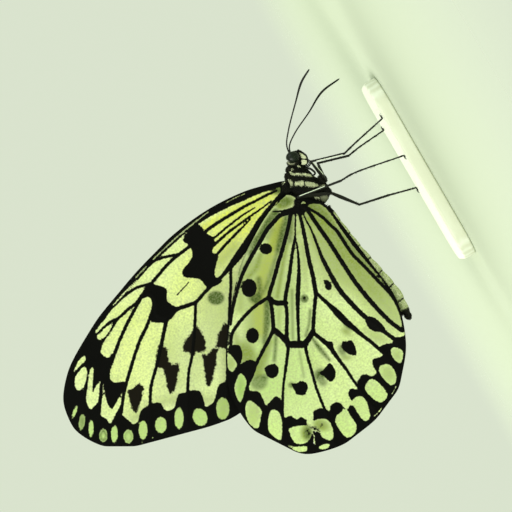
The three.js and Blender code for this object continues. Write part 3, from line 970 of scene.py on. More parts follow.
FORE_BROWN = (
    Field(((-37.8, -44), (-36.8, -43.6), (-35.4, -42.6), (-34.4, -43.2), (-36.2, -49), (-36.9, -48.3),
        (-37.4, -46.5))),
    Field(((-30.9, -34), (-29.3, -34.8), (-28.9, -37.2), (-28.1, -38.3), (-26.5, -38.1), (-26.8, -40.6),
        (-27.5, -43.8), (-28.6, -44.7), (-29.3, -43), (-30.2, -39.3), (-31.5, -38.8))),
    Field(((-22.8, -29.7), (-20.8, -33.4), (-21, -35.6), (-22.8, -35.7), (-23.3, -36.3), (-24.9, -35.6),
        (-25.7, -35.3), (-25.5, -33.6), (-23.4, -30.6))),
    Field(((-21.5, -36), (-20.5, -36.2), (-19.4, -35), (-18.2, -34.9), (-18.3, -36.7), (-19.5, -42.4),
        (-20.3, -43.2), (-21.3, -37.8))),
    Field(((-16.3, -29.1), (-17.6, -30.8), (-18.2, -33), (-18.5, -34.7), (-16.7, -34.7), (-15.8, -35.4),
        (-14.6, -33.5), (-15, -30.5))),
)

FORE_PALE = (
    # thin grey lines inside the front band, and slivers by the fork
    Line(((-12.2, -0.85), (-14, -1.6), (-16.4, -2.85)), (0.08, 0.2, 0.08)),
    Line(((-20.2, -4.8), (-26, -9.4), (-30, -13), (-32.3, -15.2)), (0.14, 0.28, 0.26, 0.24, 0.2)),
    Line(((-33.8, -16.8), (-35, -18.1), (-36.1, -19.2)), (0.2, 0.3, 0.2)),
    Line(((-36, -19.9), (-40, -24.1), (-41.2, -25.5)), (0.1, 0.3, 0.3, 0.1)),
    Field(((-43, -28.6), (-44.2, -30), (-45, -31.2), (-44.6, -31.3), (-43.6, -30.2), (-42.4, -29))),
    Field(((-41.2, -29.6), (-42.5, -30.2), (-43.6, -31.2), (-44.3, -32.6), (-43.3, -32.6), (-42, -31))),
    Field(((-47.2, -36.4), (-47.2, -37.5), (-48.2, -38.4), (-49.6, -39.9), (-49, -38.1), (-48, -36.8))),
    Field(((-47.3, -38.8), (-46.8, -39.6), (-47.1, -42), (-47.9, -43.7), (-48.8, -44), (-49.4, -43.1),
        (-49.3, -41))),
)

FORE_OVALS = (
    Spot((-49.5, -48.7), (0.36, 1.35), -20),
    Spot((-47.9, -50.9), (0.65, 1.75), -8),
    Spot((-45.9, -52.3), (0.55, 1.85)),
    Spot((-43.2, -53.9), (0.88, 1.45)),
    Spot((-40.8, -53.6), (0.72, 1.8)),
    Spot((-37.7, -54.1), (1.05, 1.5)),
    Spot((-34.5, -52.7), (0.95, 2)),
    Spot((-30.6, -51.6), (1.25, 1.75)),
    Spot((-26.6, -50.1), (1, 2.3)),
    Spot((-22, -49.9), (1.55, 1.95), 22),
    Spot((-17, -48), (1.43, 2.4)),
    Spot((-13.3, -45.6), (0.8, 1.6), 12),
    Spot((-32.4, -54.4), (0.14, 0.14)),
    Spot((-34.7, -55.4), (0.14, 0.14)),
)

FORE_TINTS = (
    # yellow at the root, fainter outwards
    Tint(YELLOW, Spot((-11, -5.8), (9.5, 3.4), 38), 5, 0.95),
    Tint(YELLOW, Line(((-7, -1.2), (-14, -4.5), (-21, -8.2)), (1, 1.8, 2)), 0.7, 0.7),
    Tint(YELLOW, Spot((-24, -20), (12, 5), 45), 7, 0.3),
    Tint(YELLOW, Spot((-38, -36), (6, 9), 20), 8, 0.22),
    # painted shade: a spot of the far wing that shows through, duller places behind it, and the hind wing's
    # shadow beside its edge
    Tint(MOSS, Spot((-18.5, -23.7), (1.8, 1.5)), 0.3, 0.9),
    Tint(OLIVE, Spot((-18.6, -26.5), (3.6, 9)), 2.5, 0.3),
    Tint(OLIVE, Spot((-26, -38), (6, 8)), 3, 0.2),
    Tint(OLIVE, Line(((-36.5, -50), (-30, -46.5), (-20, -46)), 2), 1.6, 0.4),
    Tint(OLIVE, Line(((-14.5, -12.5), (-17.5, -15.5)), 2), 1.5, 0.4),
    Tint(OLIVE, Spot((-14, -21), (1.5, 5)), 4, 0.4),
    Tint(OLIVE, Line(((-15, -31), (-16, -40), (-17, -50)), 2.4), 2, 0.4),
    # the front band's grey lines and the root
    Tint(MOSS, Line(((-12, -0.7), (-20.2, -4.8), (-32, -15), (-36, -19.2)), 0.5), 0.3, 0.5),
    Tint(OLIVE, Spot((-4.6, -0.1), (1.5, 0.8), 20), 0.6, 0.7),
    Tint(MOSS, Spot((-4.6, 0.1), (1.4, 0.8), 20), 0.6, 0.85),
    # one dull oval of the tip, and grey rings in two others
    Tint(MOSS, Spot((-47.9, -50.9), (0.7, 1.8)), 0.8, 0.6),
    Tint(MOSS, Line(((-43.2, -52.8), (-42.5, -53.9), (-43.2, -55), (-43.9, -53.9), (-43.2, -52.8)), 0.5),
        0.25, 0.7),
    Tint(MOSS, Line(((-37.7, -52.9), (-36.9, -54.1), (-37.7, -55.3), (-38.5, -54.1), (-37.7, -52.9)),
        0.5), 0.3, 0.35),
)

FORE_PLAN = WingPlan(
    outline=FORE_OUTLINE,
    veins=FORE_VEINS,
    black=FORE_BLACK,
    brown=FORE_BROWN,
    pale=FORE_PALE,
    ovals=FORE_OVALS,
    tints=FORE_TINTS,
    spread=0.11,
    pale_green=0.62,
)

HIND_OUTLINE = (
    (-1.4, -1.4), (-2.5, -1), (-3.6, -1.45), (-4.7, -2.6), (-6.1, -4.1), (-8.1, -6.8), (-10.4, -11),
    (-12.9, -16), (-15.4, -27), (-16.3, -35), (-16.2, -39.5), (-15.2, -45), (-10.5, -52.4), (-7.5, -54.1),
    (-4, -55.6), (-1.5, -57.2), (1, -57.9), (4, -57.6), (9.8, -55.6), (13, -53.1), (15, -51.7), (17, -49.8),
    (18.8, -47.1), (21.4, -43.8), (22.4, -40), (23.2, -35), (22.8, -30.2), (21.5, -25), (20, -22),
    (15.5, -16.2), (10.5, -9.5), (5.4, -3.05), (4.2, -2.55), (2.9, -2.45), (1.4, -2.5), (0, -1.9),
)

HIND_VEINS = (
    Line(((-1, -3.9), (-2.6, -4.4), (-4.3, -4.7), (-6.1, -4.75)), (0.4, 0.2, -0.1)),
    Line(((-2, -4.8), (-4.3, -5.5), (-5.75, -6.95), (-7.2, -8.6), (-8.6, -11), (-11.75, -16.5),
        (-13.1, -19.6), (-14.8, -26), (-15.3, -29.5)), (0.8, 0.6, 0.62, 0.5, 0.55, 0.45, 0.4, 0.3)),
    Line(((-2, -4.8), (-2.6, -8), (-3.6, -12), (-4.8, -16), (-5.9, -20), (-6.9, -23.5), (-6.5, -24.6),
        (-6.1, -27), (-5.9, -30.8)), 0.52),
    Line(((-6.9, -23.5), (-10.5, -26), (-14, -29.9), (-14.9, -31.4), (-15.2, -32.6), (-15.2, -34)), 0.42),
    Line(((-5.9, -30.8), (-11.3, -42), (-12.9, -49)), (0.5, 0.4, 0.4, 0.5)),
    Line(((-5.8, -30.65), (-4.35, -31.8), (-3.05, -33.2), (-2.45, -33.9)), 0.9),
    Line(((-6.7, -23.6), (-5.6, -24.7), (-3.2, -24.8)), (0.5, 0.85, 0.8)),
    Line(((-1, -5.3), (-1.1, -7.9), (-1.15, -10.2), (-1.77, -14.1), (-2.5, -19.6), (-3.2, -23.2),
        (-3.3, -24.7), (-2.95, -26.4), (-2.9, -32.5), (-2.5, -34)),
        (0, 0, 0.36, 0.45, 0.5, 0.5, 0.42, 0.5, 0.6)),
    Line(((-1.15, -10.2), (-0.6, -12.8), (-0.28, -17.3), (-0.55, -24.5), (-0.3, -34)),
        (0, 0.15, 0.35, 0.6, 0.65, 0.4, 0.3, 0.3)),
    Line(((-2.5, -33.9), (0, -33.9), (1, -33.8)), 1.25),
    Line(((0.9, -33.8), (1.9, -32.6), (2.8, -31.1)), 0.9),
    Line(((-0.45, -3.9), (0.5, -7.9), (2.13, -16.3), (2.75, -18.7), (3.45, -22.8)),
        (0.35, 0.5, 0.58, 0.66)),
    Line(((3.45, -22.8), (3.12, -26), (2.77, -31.3)), 0.5),
    Line(((3.5, -22.6), (7.9, -26.72), (9.5, -28.42), (17, -34.6), (18.6, -36)),
        (0.42, 0.5, 1.2, 1, 0.48, 0.42, 0.4)),
    Line(((2.85, -31.35), (6.5, -34.42), (7.88, -36.48), (9.88, -39.08), (11.88, -42.08), (17, -49)),
        (0.45, 0.75, 0.38, 0.25, 0.16, 0.3)),
    Line(((1, -33.9), (1.7, -37), (2.6, -40), (3.4, -43), (5.3, -48), (7, -52), (7.6, -56)),
        (0.4, 0.27, 0.27, 0.35)),
    Line(((6.8, -48.5), (7.4, -50.8), (8.6, -53)), 0.4),
    Line(((-2.5, -34), (-3.3, -40), (-3.7, -43), (-4, -54)), (0.4, 0.32, 0.2, 0.3, 0.4)),
    Line(((0.6, -4.9), (1.2, -6.5), (2.2, -8.3), (4.03, -12.85), (4.83, -14.95), (8.5, -21.67),
        (10.2, -23.77), (13.92, -27.57), (21, -33)), (-0.1, 0.15, 0.5, 0.75, 0.72, 0.6, 0.55)),
    Line(((0.8, -3.6), (2.07, -5.15), (2.98, -6.57), (6.78, -12.08), (8.9, -15.47), (12.62, -20.97),
        (16.55, -25.65), (20.15, -29.25), (22.3, -30.8)), (0.5, 0.6, 0.62, 0.65, 0.55)),
    Line(((1.5, -3.9), (3.9, -5.3), (5.2, -6.3), (6.5, -7.6), (8.1, -9.1), (9.2, -10.8), (10.5, -12.8),
        (11.6, -14.3), (13.5, -16.2), (17.1, -20), (19.7, -22.7), (21.3, -25)), (0.3, 0.42, 0.42, 0.45)),
)

HIND_BLACK = (
    # where the veins meet at the root, and thin edges, thicker behind
    Field(((-1.3, -2.2), (-0.2, -1.9), (1.2, -2.7), (1.9, -3.2), (1.3, -3.9), (1, -4.8), (0.4, -5.6),
        (-0.4, -5.3), (-2.1, -5.2), (-2.2, -4.2), (-1.2, -3.4))),
    Line(((1, -3.3), (2, -2.9), (4.2, -2.8), (6, -4), (9.1, -8.3), (12.6, -12.95), (16.7, -17.8),
        (18.5, -20), (20.2, -23.2), (21.5, -25.8), (22.3, -28.2), (22.7, -30.5)),
        (0.45, 0.5, 0.75, 0.6, 0.55, 0.5)),
    Line(((-14.9, -25), (-15.8, -30), (-16.3, -35), (-16.2, -39), (-15.6, -42)), (0.1, 0.4, 0.5, 0.6)),
    # rounded spots between the veins
    Spot((-7.5, -12.9), (1.3, 1.15)),
    Spot((-11.2, -21.5), (1.6, 1.95)),
    Spot((-10.47, -31.95), (1.35, 1.6)),
    Field(((-15.6, -34.4), (-13.5, -34.1), (-12.9, -35.2), (-12.8, -36.9), (-13.5, -38.6), (-14.1, -37.5),
        (-15, -36.4), (-15.8, -35.6))),
    Field(((-7.7, -39), (-6.8, -38.5), (-5.6, -38.2), (-4.8, -39.2), (-5.1, -40.6), (-6.2, -41.3),
        (-7.3, -40.6))),
    Field(((-1.9, -42.5), (-0.8, -42.5), (0, -42), (1.2, -42.3), (1.6, -43.3), (1, -44.8), (0.2, -45),
        (-0.9, -44.6), (-1.4, -43.5))),
    Field(((4.2, -40.1), (5.1, -39.6), (6.5, -38), (7.5, -39.3), (7.7, -40.8), (6.7, -42), (5.3, -40.9))),
    Field(((9.3, -33.3), (10.4, -33.3), (11.1, -33), (12, -34.4), (12.2, -36.2), (11, -36.1),
        (9.4, -34.8))),
    Field(((5.2, -19.8), (5.9, -19.8), (6.8, -20.7), (6.8, -21.6), (6.3, -22), (5.6, -21.6), (5.5, -20.8))),
    Field(((14.3, -27.9), (16, -28), (18, -29.6), (18.6, -30.8), (16.6, -31), (15.2, -30.3))),
    Field(((5.3, -33), (6.2, -33.3), (7, -33.4), (7.3, -34.8), (7.9, -36.3), (6.4, -35))),
    # the margin with its arches
    Field(((-17.5, -38.4), (-15, -39.5), (-13.9, -38.4), (-13, -38.2), (-11, -37.3), (-9.6, -38),
        (-10.2, -40.6), (-11.3, -43.2), (-11, -44.1), (-9.2, -44.3), (-8.4, -45.5), (-7.5, -47.4),
        (-6.6, -46.5), (-5.3, -45.3), (-4.2, -46.2), (-3.7, -48), (-3.5, -50), (-2.1, -49.6),
        (-0.9, -50.35), (0.35, -49.85), (1.6, -50.8), (2.4, -51), (2.9, -50.2), (3, -48.6), (5, -47.9),
        (6.4, -48.6), (6.7, -47.4), (7.6, -46.7), (8.6, -46.8), (9.6, -47.8), (10.2, -48.4), (11, -47.3),
        (11.8, -47.4), (10.6, -44.7), (11.2, -43.6), (12.5, -43.8), (12.7, -42), (13.7, -40.6),
        (14.7, -40.6), (15.7, -41), (16.8, -40.1), (16.1, -38.7), (15.9, -37.3), (17.2, -36.8),
        (18.1, -36.3), (17.4, -34.6), (18.9, -33.8), (20.2, -33.6), (20.6, -32.4), (22, -32.3),
        (25, -31.5), (27, -40), (22, -49), (12, -59), (0, -62), (-12, -57), (-18, -50), (-20, -42))),
)

HIND_BROWN = (
    Spot((0.85, -23.8), (0.42, 0.36), 20),
    Line(((9.2, -34.2), (9.9, -35.5)), 0.4),
    # flecks of the worn place at the margin
    Spot((2.6, -52), (0.3, 0.16), 10),
    Spot((1.9, -53.4), (0.3, 0.35)),
    Spot((4, -52.6), (0.2, 0.35), 30),
    Spot((1.3, -52.8), (0.25, 0.2)),
    Spot((4.6, -51.6), (0.3, 0.2), 40),
)

HIND_OVALS = (
    Field(((-15.6, -35.9), (-14.6, -37.1), (-13.9, -38.3), (-14.9, -39.9), (-15.5, -39.6), (-15.9, -37.4))),
    Field(((-13.1, -40.2), (-12.2, -41), (-11.8, -42.3), (-12.1, -43.6), (-13.2, -46.6), (-14.4, -43.5))),
    Field(((-11.4, -46.2), (-8.6, -48.2), (-8.7, -50), (-9.4, -52.3), (-10.9, -51.5), (-11.8, -49.7),
        (-12, -47.6))),
    Field(((-6.5, -48.5), (-5.6, -48.2), (-4.7, -48.8), (-4.1, -50.5), (-4, -53), (-4.3, -54.8),
        (-6.8, -53))),
    Field(((-2.5, -52.4), (2.2, -51.9), (2.4, -54), (1.1, -55.5), (-0.8, -55.65), (-1.6, -54.9),
        (-2.3, -53.3))),
    Field(((-2.7, -55.95), (-1.2, -56.35), (1.4, -56.3), (1.4, -57.2), (0, -57.45), (-1.4, -57))),
    Field(((3, -50.7), (5, -50.2), (6.2, -50.6), (7.1, -52.4), (7.2, -54.3), (6.6, -54.9), (4.7, -54.1),
        (4.3, -53), (3.3, -51.9))),
    Field(((3.9, -56.6), (4.8, -55.9), (6.5, -55.7), (6, -56.6), (5, -56.85))),
    Field(((9, -48.7), (9.5, -48), (10.1, -48.1), (10.7, -49), (12.4, -52.1), (11.8, -53.5),
        (10.3, -54.3), (7.8, -51.1), (7.8, -49.8))),
    Field(((11.2, -46.5), (12.4, -45.4), (13.5, -45.3), (14.6, -46.6), (15.1, -48.4), (15.3, -49.8),
        (14.3, -50.7), (12.8, -49.2), (11.7, -47.2))),
    Field(((15.6, -41.5), (17.8, -42.9), (19.1, -45), (18.6, -46), (17.5, -46.6), (14.4, -44.1),
        (14.3, -42.9))),
    Field(((17.3, -39.6), (17.6, -38.6), (19, -38.2), (20.1, -38.8), (21.1, -41), (20.6, -42.6),
        (19.9, -42.8), (18.4, -41.5))),
    Field(((20.1, -34.7), (21.2, -34.6), (22.5, -35.5), (22, -38), (20.6, -37.1), (19.9, -35.6))),
)

HIND_PALE = (
    # the light front edge, and pale hair at the root
    Line(((-5.6, -3.4), (-8.1, -6.8), (-10.4, -11), (-12.9, -16), (-14, -20)), (0.8, 1, 1, 0.8)),
    Line(((0.2, -3.05), (0.6, -2.8), (1.1, -2.9)), (0.2, 0.4, 0.2)),
    # the worn place at the margin, where the band is broken
    Field(((1.5, -50.6), (2.9, -50.5), (3.3, -51.5), (2.5, -52.3), (1.7, -51.9))),
    Line(((2.4, -52.5), (3.2, -52.8), (3.9, -52.9), (4.5, -53.5)), (0.3, 0.24, 0.1)),
    Line(((2.6, -53.2), (3.1, -54.1), (3, -55), (3.2, -55.8)), (0.24, 0.1, 0.26, 0.12)),
    # a worn line along the rim
    Line(((21, -43.1), (20.6, -44), (20.1, -44.7)), (0.05, 0.14, 0.05)),
    Line(((17.9, -47.7), (17.2, -48.7), (16.2, -49.6)), (0.1, 0.22, 0.08)),
)

HIND_TINTS = (
    # the whole wing is a little greener than the fore wing, most in the middle
    Tint(GREEN, Spot((2, -32), (22, 30)), 4, 0.16),
    Tint(GREEN, Spot((-3, -34), (6, 16), 10), 4, 0.28),
    Tint(GREEN, Spot((-9, -41), (4, 7), 20), 3, 0.4),
    Tint(GREEN, Spot((-13, -43.4), (1, 3)), 0.9, 1),
    # the first cell: yellow, with painted shade in olive and moss stripes
    Tint(YELLOW, Line(((-4.6, -7.4), (-5.4, -11.8), (-7.4, -16), (-8.6, -21), (-9, -28), (-8.6, -31)),
        (1.2, 2, 2.8, 2.4)), 1, 0.6),
    Tint(YELLOW, Line(((-4.3, -6.6), (-5.3, -9.4), (-6.2, -12.4)), 1.6), 0.9, 0.85),
    Tint(OLIVE, Line(((-4.2, -6.4), (-5, -9.4), (-5.6, -12.4)), 1.6), 0.8, 0.4),
    Tint(OLIVE, Line(((-4.8, -8), (-8, -18), (-10, -31)), (2, 4.8, 4.8)), 1.6, 0.48),
    Tint(OLIVE, Line(((-8.8, -14.2), (-9.6, -17), (-11.2, -19)), 0.8), 0.7, 0.85),
    Tint(MOSS, Line(((-3.7, -9.2), (-7, -20), (-8.2, -22.6)), 0.6), 0.7, 0.75),
    Tint(MOSS, Line(((-9.1, -19.6), (-8.9, -22.4), (-9.6, -24.6)), 1), 0.6, 0.8),
    Tint(MOSS, Spot((-9.9, -23.7), (1.4, 1.1)), 0.6, 0.8),
    Tint(MOSS, Line(((-3.1, -6), (-3.7, -8.6), (-4.3, -11), (-5, -13.4)), (1, 1.6, 1.5, 0.9)), 0.5, 0.75),
    Tint(MOSS, Line(((-6.2, -8.6), (-7.2, -10.4)), 1.2), 0.7, 0.4),
    # the strip before the first vein, in painted shade, and its worn pale edge
    Tint(MOSS, Line(((-9.6, -10.2), (-12.2, -14.2), (-13.6, -18.4)), 0.5), 0.4, 0.8),
    Tint(OLIVE, Line(((-10.4, -15.5), (-12.6, -20), (-13.2, -26)), 2), 1.2, 0.5),
    Tint(MOSS, Line(((-5.4, -4.9), (-7.2, -7.2), (-11, -14)), (1.5, 1.3, 1)), 0.5, 0.85),
    Tint(OLIVE, Line(((-5.8, -5), (-9.6, -10.8)), 1.6), 0.5, 0.5),
    Tint(MOSS, Line(((-11.4, -15), (-13, -18.4), (-14.2, -22)), 0.8), 0.6, 0.45),
    # the second and third cells, with painted shade
    Tint(MOSS, Line(((-7.3, -24.6), (-7.3, -29), (-7.9, -33.4)), (1.3, 1.5, 0.8)), 0.5, 0.8),
    Tint(OLIVE, Spot((-11.8, -36), (1.9, 2.9), 25), 1.2, 0.85),
    Tint(OLIVE, Line(((-14.2, -31.8), (-13.8, -34)), 1.2), 0.9, 0.5),
    Tint(OLIVE, Spot((-15.2, -38), (0.9, 1.5)), 0.7, 0.45),
    Tint(MOSS, Line(((-5.3, -31.6), (-5.4, -34.4), (-5.7, -37.4)), 0.7), 0.4, 0.75),
    Tint(OLIVE, Line(((-6.8, -33.4), (-8.4, -37.4), (-9.4, -40)), (1.6, 2.6)), 1, 0.75),
    Tint(MOSS, Spot((-9, -42.2), (1.8, 1.6), 20), 0.5, 0.58),
    Tint(MOSS, Spot((-7.7, -41), (0.8, 0.7)), 0.4, 0.5),
    # painted shade between the veins of the middle
    Tint(MOSS, Line(((-1.9, -5.4), (-2.2, -8), (-2.3, -11)), 1.3), 0.6, 0.65),
    Tint(OLIVE, Spot((-3.8, -21), (3.5, 6)), 2, 0.25),
    Tint(OLIVE, Line(((-2.9, -12), (-3.7, -15.7), (-5, -23.4)), 0.8), 0.5, 0.75),
    Tint(OLIVE, Line(((-0.2, -5.6), (0.2, -9), (-1.6, -9.6), (-1.8, -6)), 0.6), 0.4, 0.4),
    Tint(MOSS, Line(((-1.8, -22), (-1.7, -28), (-1.6, -32.6)), 0.5), 0.4, 0.6),
    Tint(MOSS, Line(((2.2, -26.4), (1.9, -29.6), (1.2, -32)), 0.5), 0.4, 0.8),
    Tint(OLIVE, Line(((0.6, -12), (1.2, -18), (1.6, -22)), 0.6), 0.6, 0.3),
    Tint(OLIVE, Spot((-4.6, -28), (0.5, 2.2)), 0.5, 0.35),
    Tint(MOSS, Spot((0.92, -23.85), (0.9, 0.9)), 0.2, 0.8),
    Tint(MOSS, Line(((-0.2, -35.4), (0.3, -38), (0.8, -41)), 0.35), 0.4, 0.5),
    Tint(MOSS, Spot((-1.9, -42.8), (0.7, 0.6)), 0.4, 0.8),
    Tint(MOSS, Line(((2.7, -32.6), (4.2, -34.7), (6.4, -37.3)), (0.5, 1, 0.5)), 0.4, 0.9),
    Tint(MOSS, Spot((4.3, -40.5), (1.1, 1.3), -30), 0.6, 0.9),
    Tint(MOSS, Spot((5, -42.2), (0.9, 0.8)), 0.5, 0.6),
    # the inner part, with painted shade darker towards the body
    Tint(OLIVE, Spot((3, -9), (7, 9)), 4, 0.35),
    Tint(OLIVE, Line(((5, -7), (8.5, -11.5), (12, -16)), 2.5), 1.5, 0.4),
    Tint(OLIVE, Line(((6, -11), (14, -20), (20, -28)), 7), 2.5, 0.28),
    Tint(OLIVE, Spot((10.1, -31), (1, 0.7), -35), 0.8, 0.75),
    Tint(MOSS, Spot((10.5, -29.9), (1.2, 0.45), -35), 0.35, 0.85),
    Tint(MOSS, Spot((9.2, -35.2), (0.8, 1.2), 20), 0.6, 0.7),
    Tint(OLIVE, Spot((10.2, -36.8), (1, 0.5)), 0.6, 0.6),
    Tint(OLIVE, Spot((13.5, -18), (10, 3.4), -48), 3.2, 0.62),
    Tint(MOSS, Line(((8, -9), (17.6, -19.6), (20.4, -23)), 1.3), 0.9, 0.45),
    Tint(OLIVE, Spot((3.6, -5.2), (4.2, 2.6), -35), 1.4, 0.75),
    Tint(OLIVE, Spot((7.5, -19), (4, 2.5), -50), 2, 0.35),
    Tint(MOSS, Line(((2.4, -3.6), (4.6, -4.6), (7, -7.6)), 1.2), 0.7, 0.3),
    Tint(OLIVE, Line(((1.2, -6.5), (3.6, -12.6), (5.4, -17)), 0.8), 0.8, 0.45),
    Tint(OLIVE, Spot((-3.5, -2.8), (2.1, 1.3), 25), 0.5, 0.85),
    Tint(MOSS, Spot((-3.2, -2.6), (1.5, 0.9), 25), 0.6, 0.6),
    Tint(OLIVE, Spot((17, -32.2), (2.6, 1.1), -28), 1, 0.4),
    # the ovals of the margin
    Tint(OLIVE, Spot((4.6, -51.6), (1.6, 1.1), -20), 0.8, 0.85),
    Tint(OLIVE, Spot((1.3, -53.2), (1.1, 1.7)), 0.6, 0.85),
    Tint(MOSS, Spot((1.7, -53.3), (0.8, 1.4)), 0.4, 0.75),
    Tint(OLIVE, Spot((-10.2, -49.4), (1.4, 2.8)), 0.9, 0.35),
    Tint(OLIVE, Spot((19.3, -40.4), (1.3, 1.8), 30), 0.8, 0.35),
    Tint(OLIVE, Spot((21.3, -36.2), (0.9, 1.2)), 0.8, 0.4),
)

HIND_HOLES = (
    Field(((3.05, -53), (3.5, -53.05), (3.9, -53.25), (3.4, -53.45))),
    Field(((2.9, -55.2), (3.15, -55.5), (3.2, -56), (2.95, -55.8))),
)

HIND_PLAN = WingPlan(
    outline=HIND_OUTLINE,
    veins=HIND_VEINS,
    black=HIND_BLACK,
    brown=HIND_BROWN,
    pale=HIND_PALE,
    ovals=HIND_OVALS,
    tints=HIND_TINTS,
    spread=0.19,
    pale_green=0.36,
    holes=HIND_HOLES,
)


class WingKind(Enum):
    """The two pairs of wings."""

    FORE = "fore"
    HIND = "hind"


@dataclass
class Wings:
    """The four wings: thin sheets with raised veins, coloured scale by scale."""

    edge_step: float = 0.36
    mark_step: float = 0.4
    lattice: float = 0.32
    lattice_edge: float = 0.5  # least distance of the lattice from the edge, as a share of its step
    lattice_guide: float = 0.62  # and from a guiding point
    nudge: float = 0.02  # keeps four lattice points from lying on one circle
    apart: float = 0.13  # least distance between two points of the mesh
    membrane: float = 0.11
    vein_height: float = 0.2  # added to the membrane, both faces together
    swell: float = 0.14  # how far the surface rises towards a vein
    root: Pair = (-2.0, -1.0)
    root_offset: float = 1.5
    tip_offset: float = 0.65
    root_reach: float = 25.0
    spread: float = 1.2
    span: float = 65.0
    pair_gap: float = 1.2
    body_offset: float = 3.1
    bleed: float = 0.08  # how far the black reaches past its drawn edges
    rim: float = 0.12  # half the width of the black line along the edge
    rim_cut: float = 0.25  # how far a pale mark has to reach past the edge to cut that line
    oval_blur: float = 0.3
    vein_half: float = 0.22  # least half width of a raised vein
    vein_share: float = 0.8  # half width of a raised vein beside that of its drawn line
    swell_reach: float = 1.5
    line_step: float = 0.8
    reach: float = 2.0  # distances to the markings are kept up to this
    body_near: Pair = (3.0, 9.0)  # the hind wings part round the abdomen between these distances
    ripples: tuple[tuple[float, float, float], ...] = ((0.12, 4.1, 9.0), (0.08, -7.0, 3.3))
    ripple_from: Pair = (8.0, 25.0)  # distances from the root between which the ripples grow
    plans: dict[WingKind, WingPlan] = field(
        default_factory=lambda: {WingKind.FORE: FORE_PLAN, WingKind.HIND: HIND_PLAN}
    )

    def build(self, finish: WingScales) -> None:
        """Build and dress the four wings.

        Args:
            finish: the finish of the membrane.
        """
        material = finish.make()
        for kind, plan in self.plans.items():
            flat, faces = self.mesh_plan(plan)
            paint = self.paint(plan, flat)
            for side in Side:
                self.blade(kind, side, flat, faces, paint, material)

    def mesh_plan(self, plan: WingPlan) -> tuple[Array, Array]:
        """Cover a wing's plan with triangles that follow its veins and markings.

        Args:
            plan: the wing's drawing.

        Returns:
            The points as rows of p and q, and the triangles.
        """
        edge = smooth_run(plan.outline, self.edge_step, closed=True)
        outline = Field(plan.outline)
        guides = [guide for line in plan.inked() for guide in line.guides(self.mark_step)]
        for mark in (*plan.black, *plan.brown, *plan.pale, *plan.ovals, *plan.holes):
            guides += mark.guides(self.mark_step)
        guides = np.vstack(guides)
        guides = self.thin_out(guides[outline.gap(guides) < -self.apart], edge)
        filling = self.filling(edge)
        filling = filling[outline.gap(filling) < -self.lattice_edge * self.lattice]
        tree = kdtree.KDTree(len(guides))
        for k, (p, q) in enumerate(guides):
            tree.insert((p, q, 0.0), k)
        tree.balance()
        least = self.lattice_guide * self.lattice
        clear = np.array([tree.find((p, q, 0.0))[2] > least for p, q in filling])
        points = np.vstack((edge, guides, filling[clear]))
        ring = [(k, (k + 1) % len(edge)) for k in range(len(edge))]
        places, _, triangles, *_ = delaunay_2d_cdt([Vector(p) for p in points], ring, [], 1, 1e-5, False)
        flat, faces = np.array([tuple(p) for p in places]), np.array(triangles)
        if plan.holes:
            faces = faces[nearest(plan.holes, flat[faces].mean(axis=1)) > 0.0]
        return flat, faces

    def thin_out(self, points: Array, edge: Array) -> Array:
        """Drop points that stand too close to the edge or to a point kept before.

        Args:
            points: the points, in order.
            edge: points of the wing's edge.

        Returns:
            The points that are kept.
        """
        kept: list[Pair] = []
        cells: dict[tuple[int, int], list[Pair]] = {}
        for k, (p, q) in enumerate(np.vstack((edge, points)).tolist()):
            i, j = math.floor(p / self.apart), math.floor(q / self.apart)
            near = (cells.get((i + a, j + b), ()) for a in (-1, 0, 1) for b in (-1, 0, 1))
            if any(math.dist((p, q), other) < self.apart for group in near for other in group):
                continue
            cells.setdefault((i, j), []).append((p, q))
            if k >= len(edge):
                kept.append((p, q))
        return np.array(kept)

    def filling(self, edge: Array) -> Array:
        """Fill the box of a wing with an even lattice of points.

        Args:
            edge: points of the wing's edge.

        Returns:
            The lattice, as rows of p and q.
        """
        low, high = edge.min(axis=0), edge.max(axis=0)
        rows = np.arange(low[1], high[1], self.lattice * math.sqrt(0.75))
        columns = np.arange(low[0], high[0], self.lattice)
        p, q = np.meshgrid(columns, rows)
        p = p + (np.arange(len(rows)) % 2)[:, None] * self.lattice / 2
        nudge = self.nudge * np.sin(12.9898 * p + 78.233 * q)
        return np.column_stack(((p + nudge).ravel(), (q - nudge).ravel()))

    def paint(self, plan: WingPlan, flat: Array) -> dict[str, Array]:
        """Work out what the finish reads at each point of a wing.

        Args:
            plan: the wing's drawing.
            flat: the points, as rows of p and q.

        Returns:
            Values by attribute name, and the shape of the surface as "vein" and "swell".
        """
        ink = np.minimum(nearest(plan.inked(), flat), nearest(plan.black, flat) - self.bleed)
        edge_line = np.abs(Field(plan.outline).gap(flat)) - self.rim
        ovals = nearest(plan.ovals, flat)
        pale = np.minimum(nearest(plan.pale, flat), ovals)
        ink = np.minimum(np.maximum(ink, -pale), np.maximum(edge_line, -pale - self.rim_cut))
        marks = {"ink": ink, "soot": nearest(plan.brown, flat)}
        values = {name: np.clip(gap, -self.reach, self.reach) for name, gap in marks.items()}
        # the washes; olive and moss among them are mostly painted shade
        for wash in Wash:
            clear = np.ones(len(flat))
            for tint in plan.tints:
                if tint.wash is wash:
                    clear *= 1 - tint.strength * (1 - ease(tint.mark.gap(flat), -tint.blur, tint.blur))
            values[wash.value] = 1 - clear
        in_oval = plan.pale_green * (1 - ease(ovals, 0.0, self.oval_blur))
        values[GREEN.value] = np.maximum(values[GREEN.value], in_oval)
        values["vein"], values["swell"] = np.zeros((2, len(flat)))
        for vein in plan.veins:
            run, halves = vein.run(self.line_step)
            away = run_gap(flat, run, np.zeros(len(run)))
            half = max(self.vein_half, self.vein_share * float(halves.mean()))
            values["vein"] = np.maximum(values["vein"], np.clip(1 - (away / half) ** 2, 0, 1))
            values["swell"] = np.maximum(values["swell"], np.exp(-((away / self.swell_reach) ** 2)))
        return values

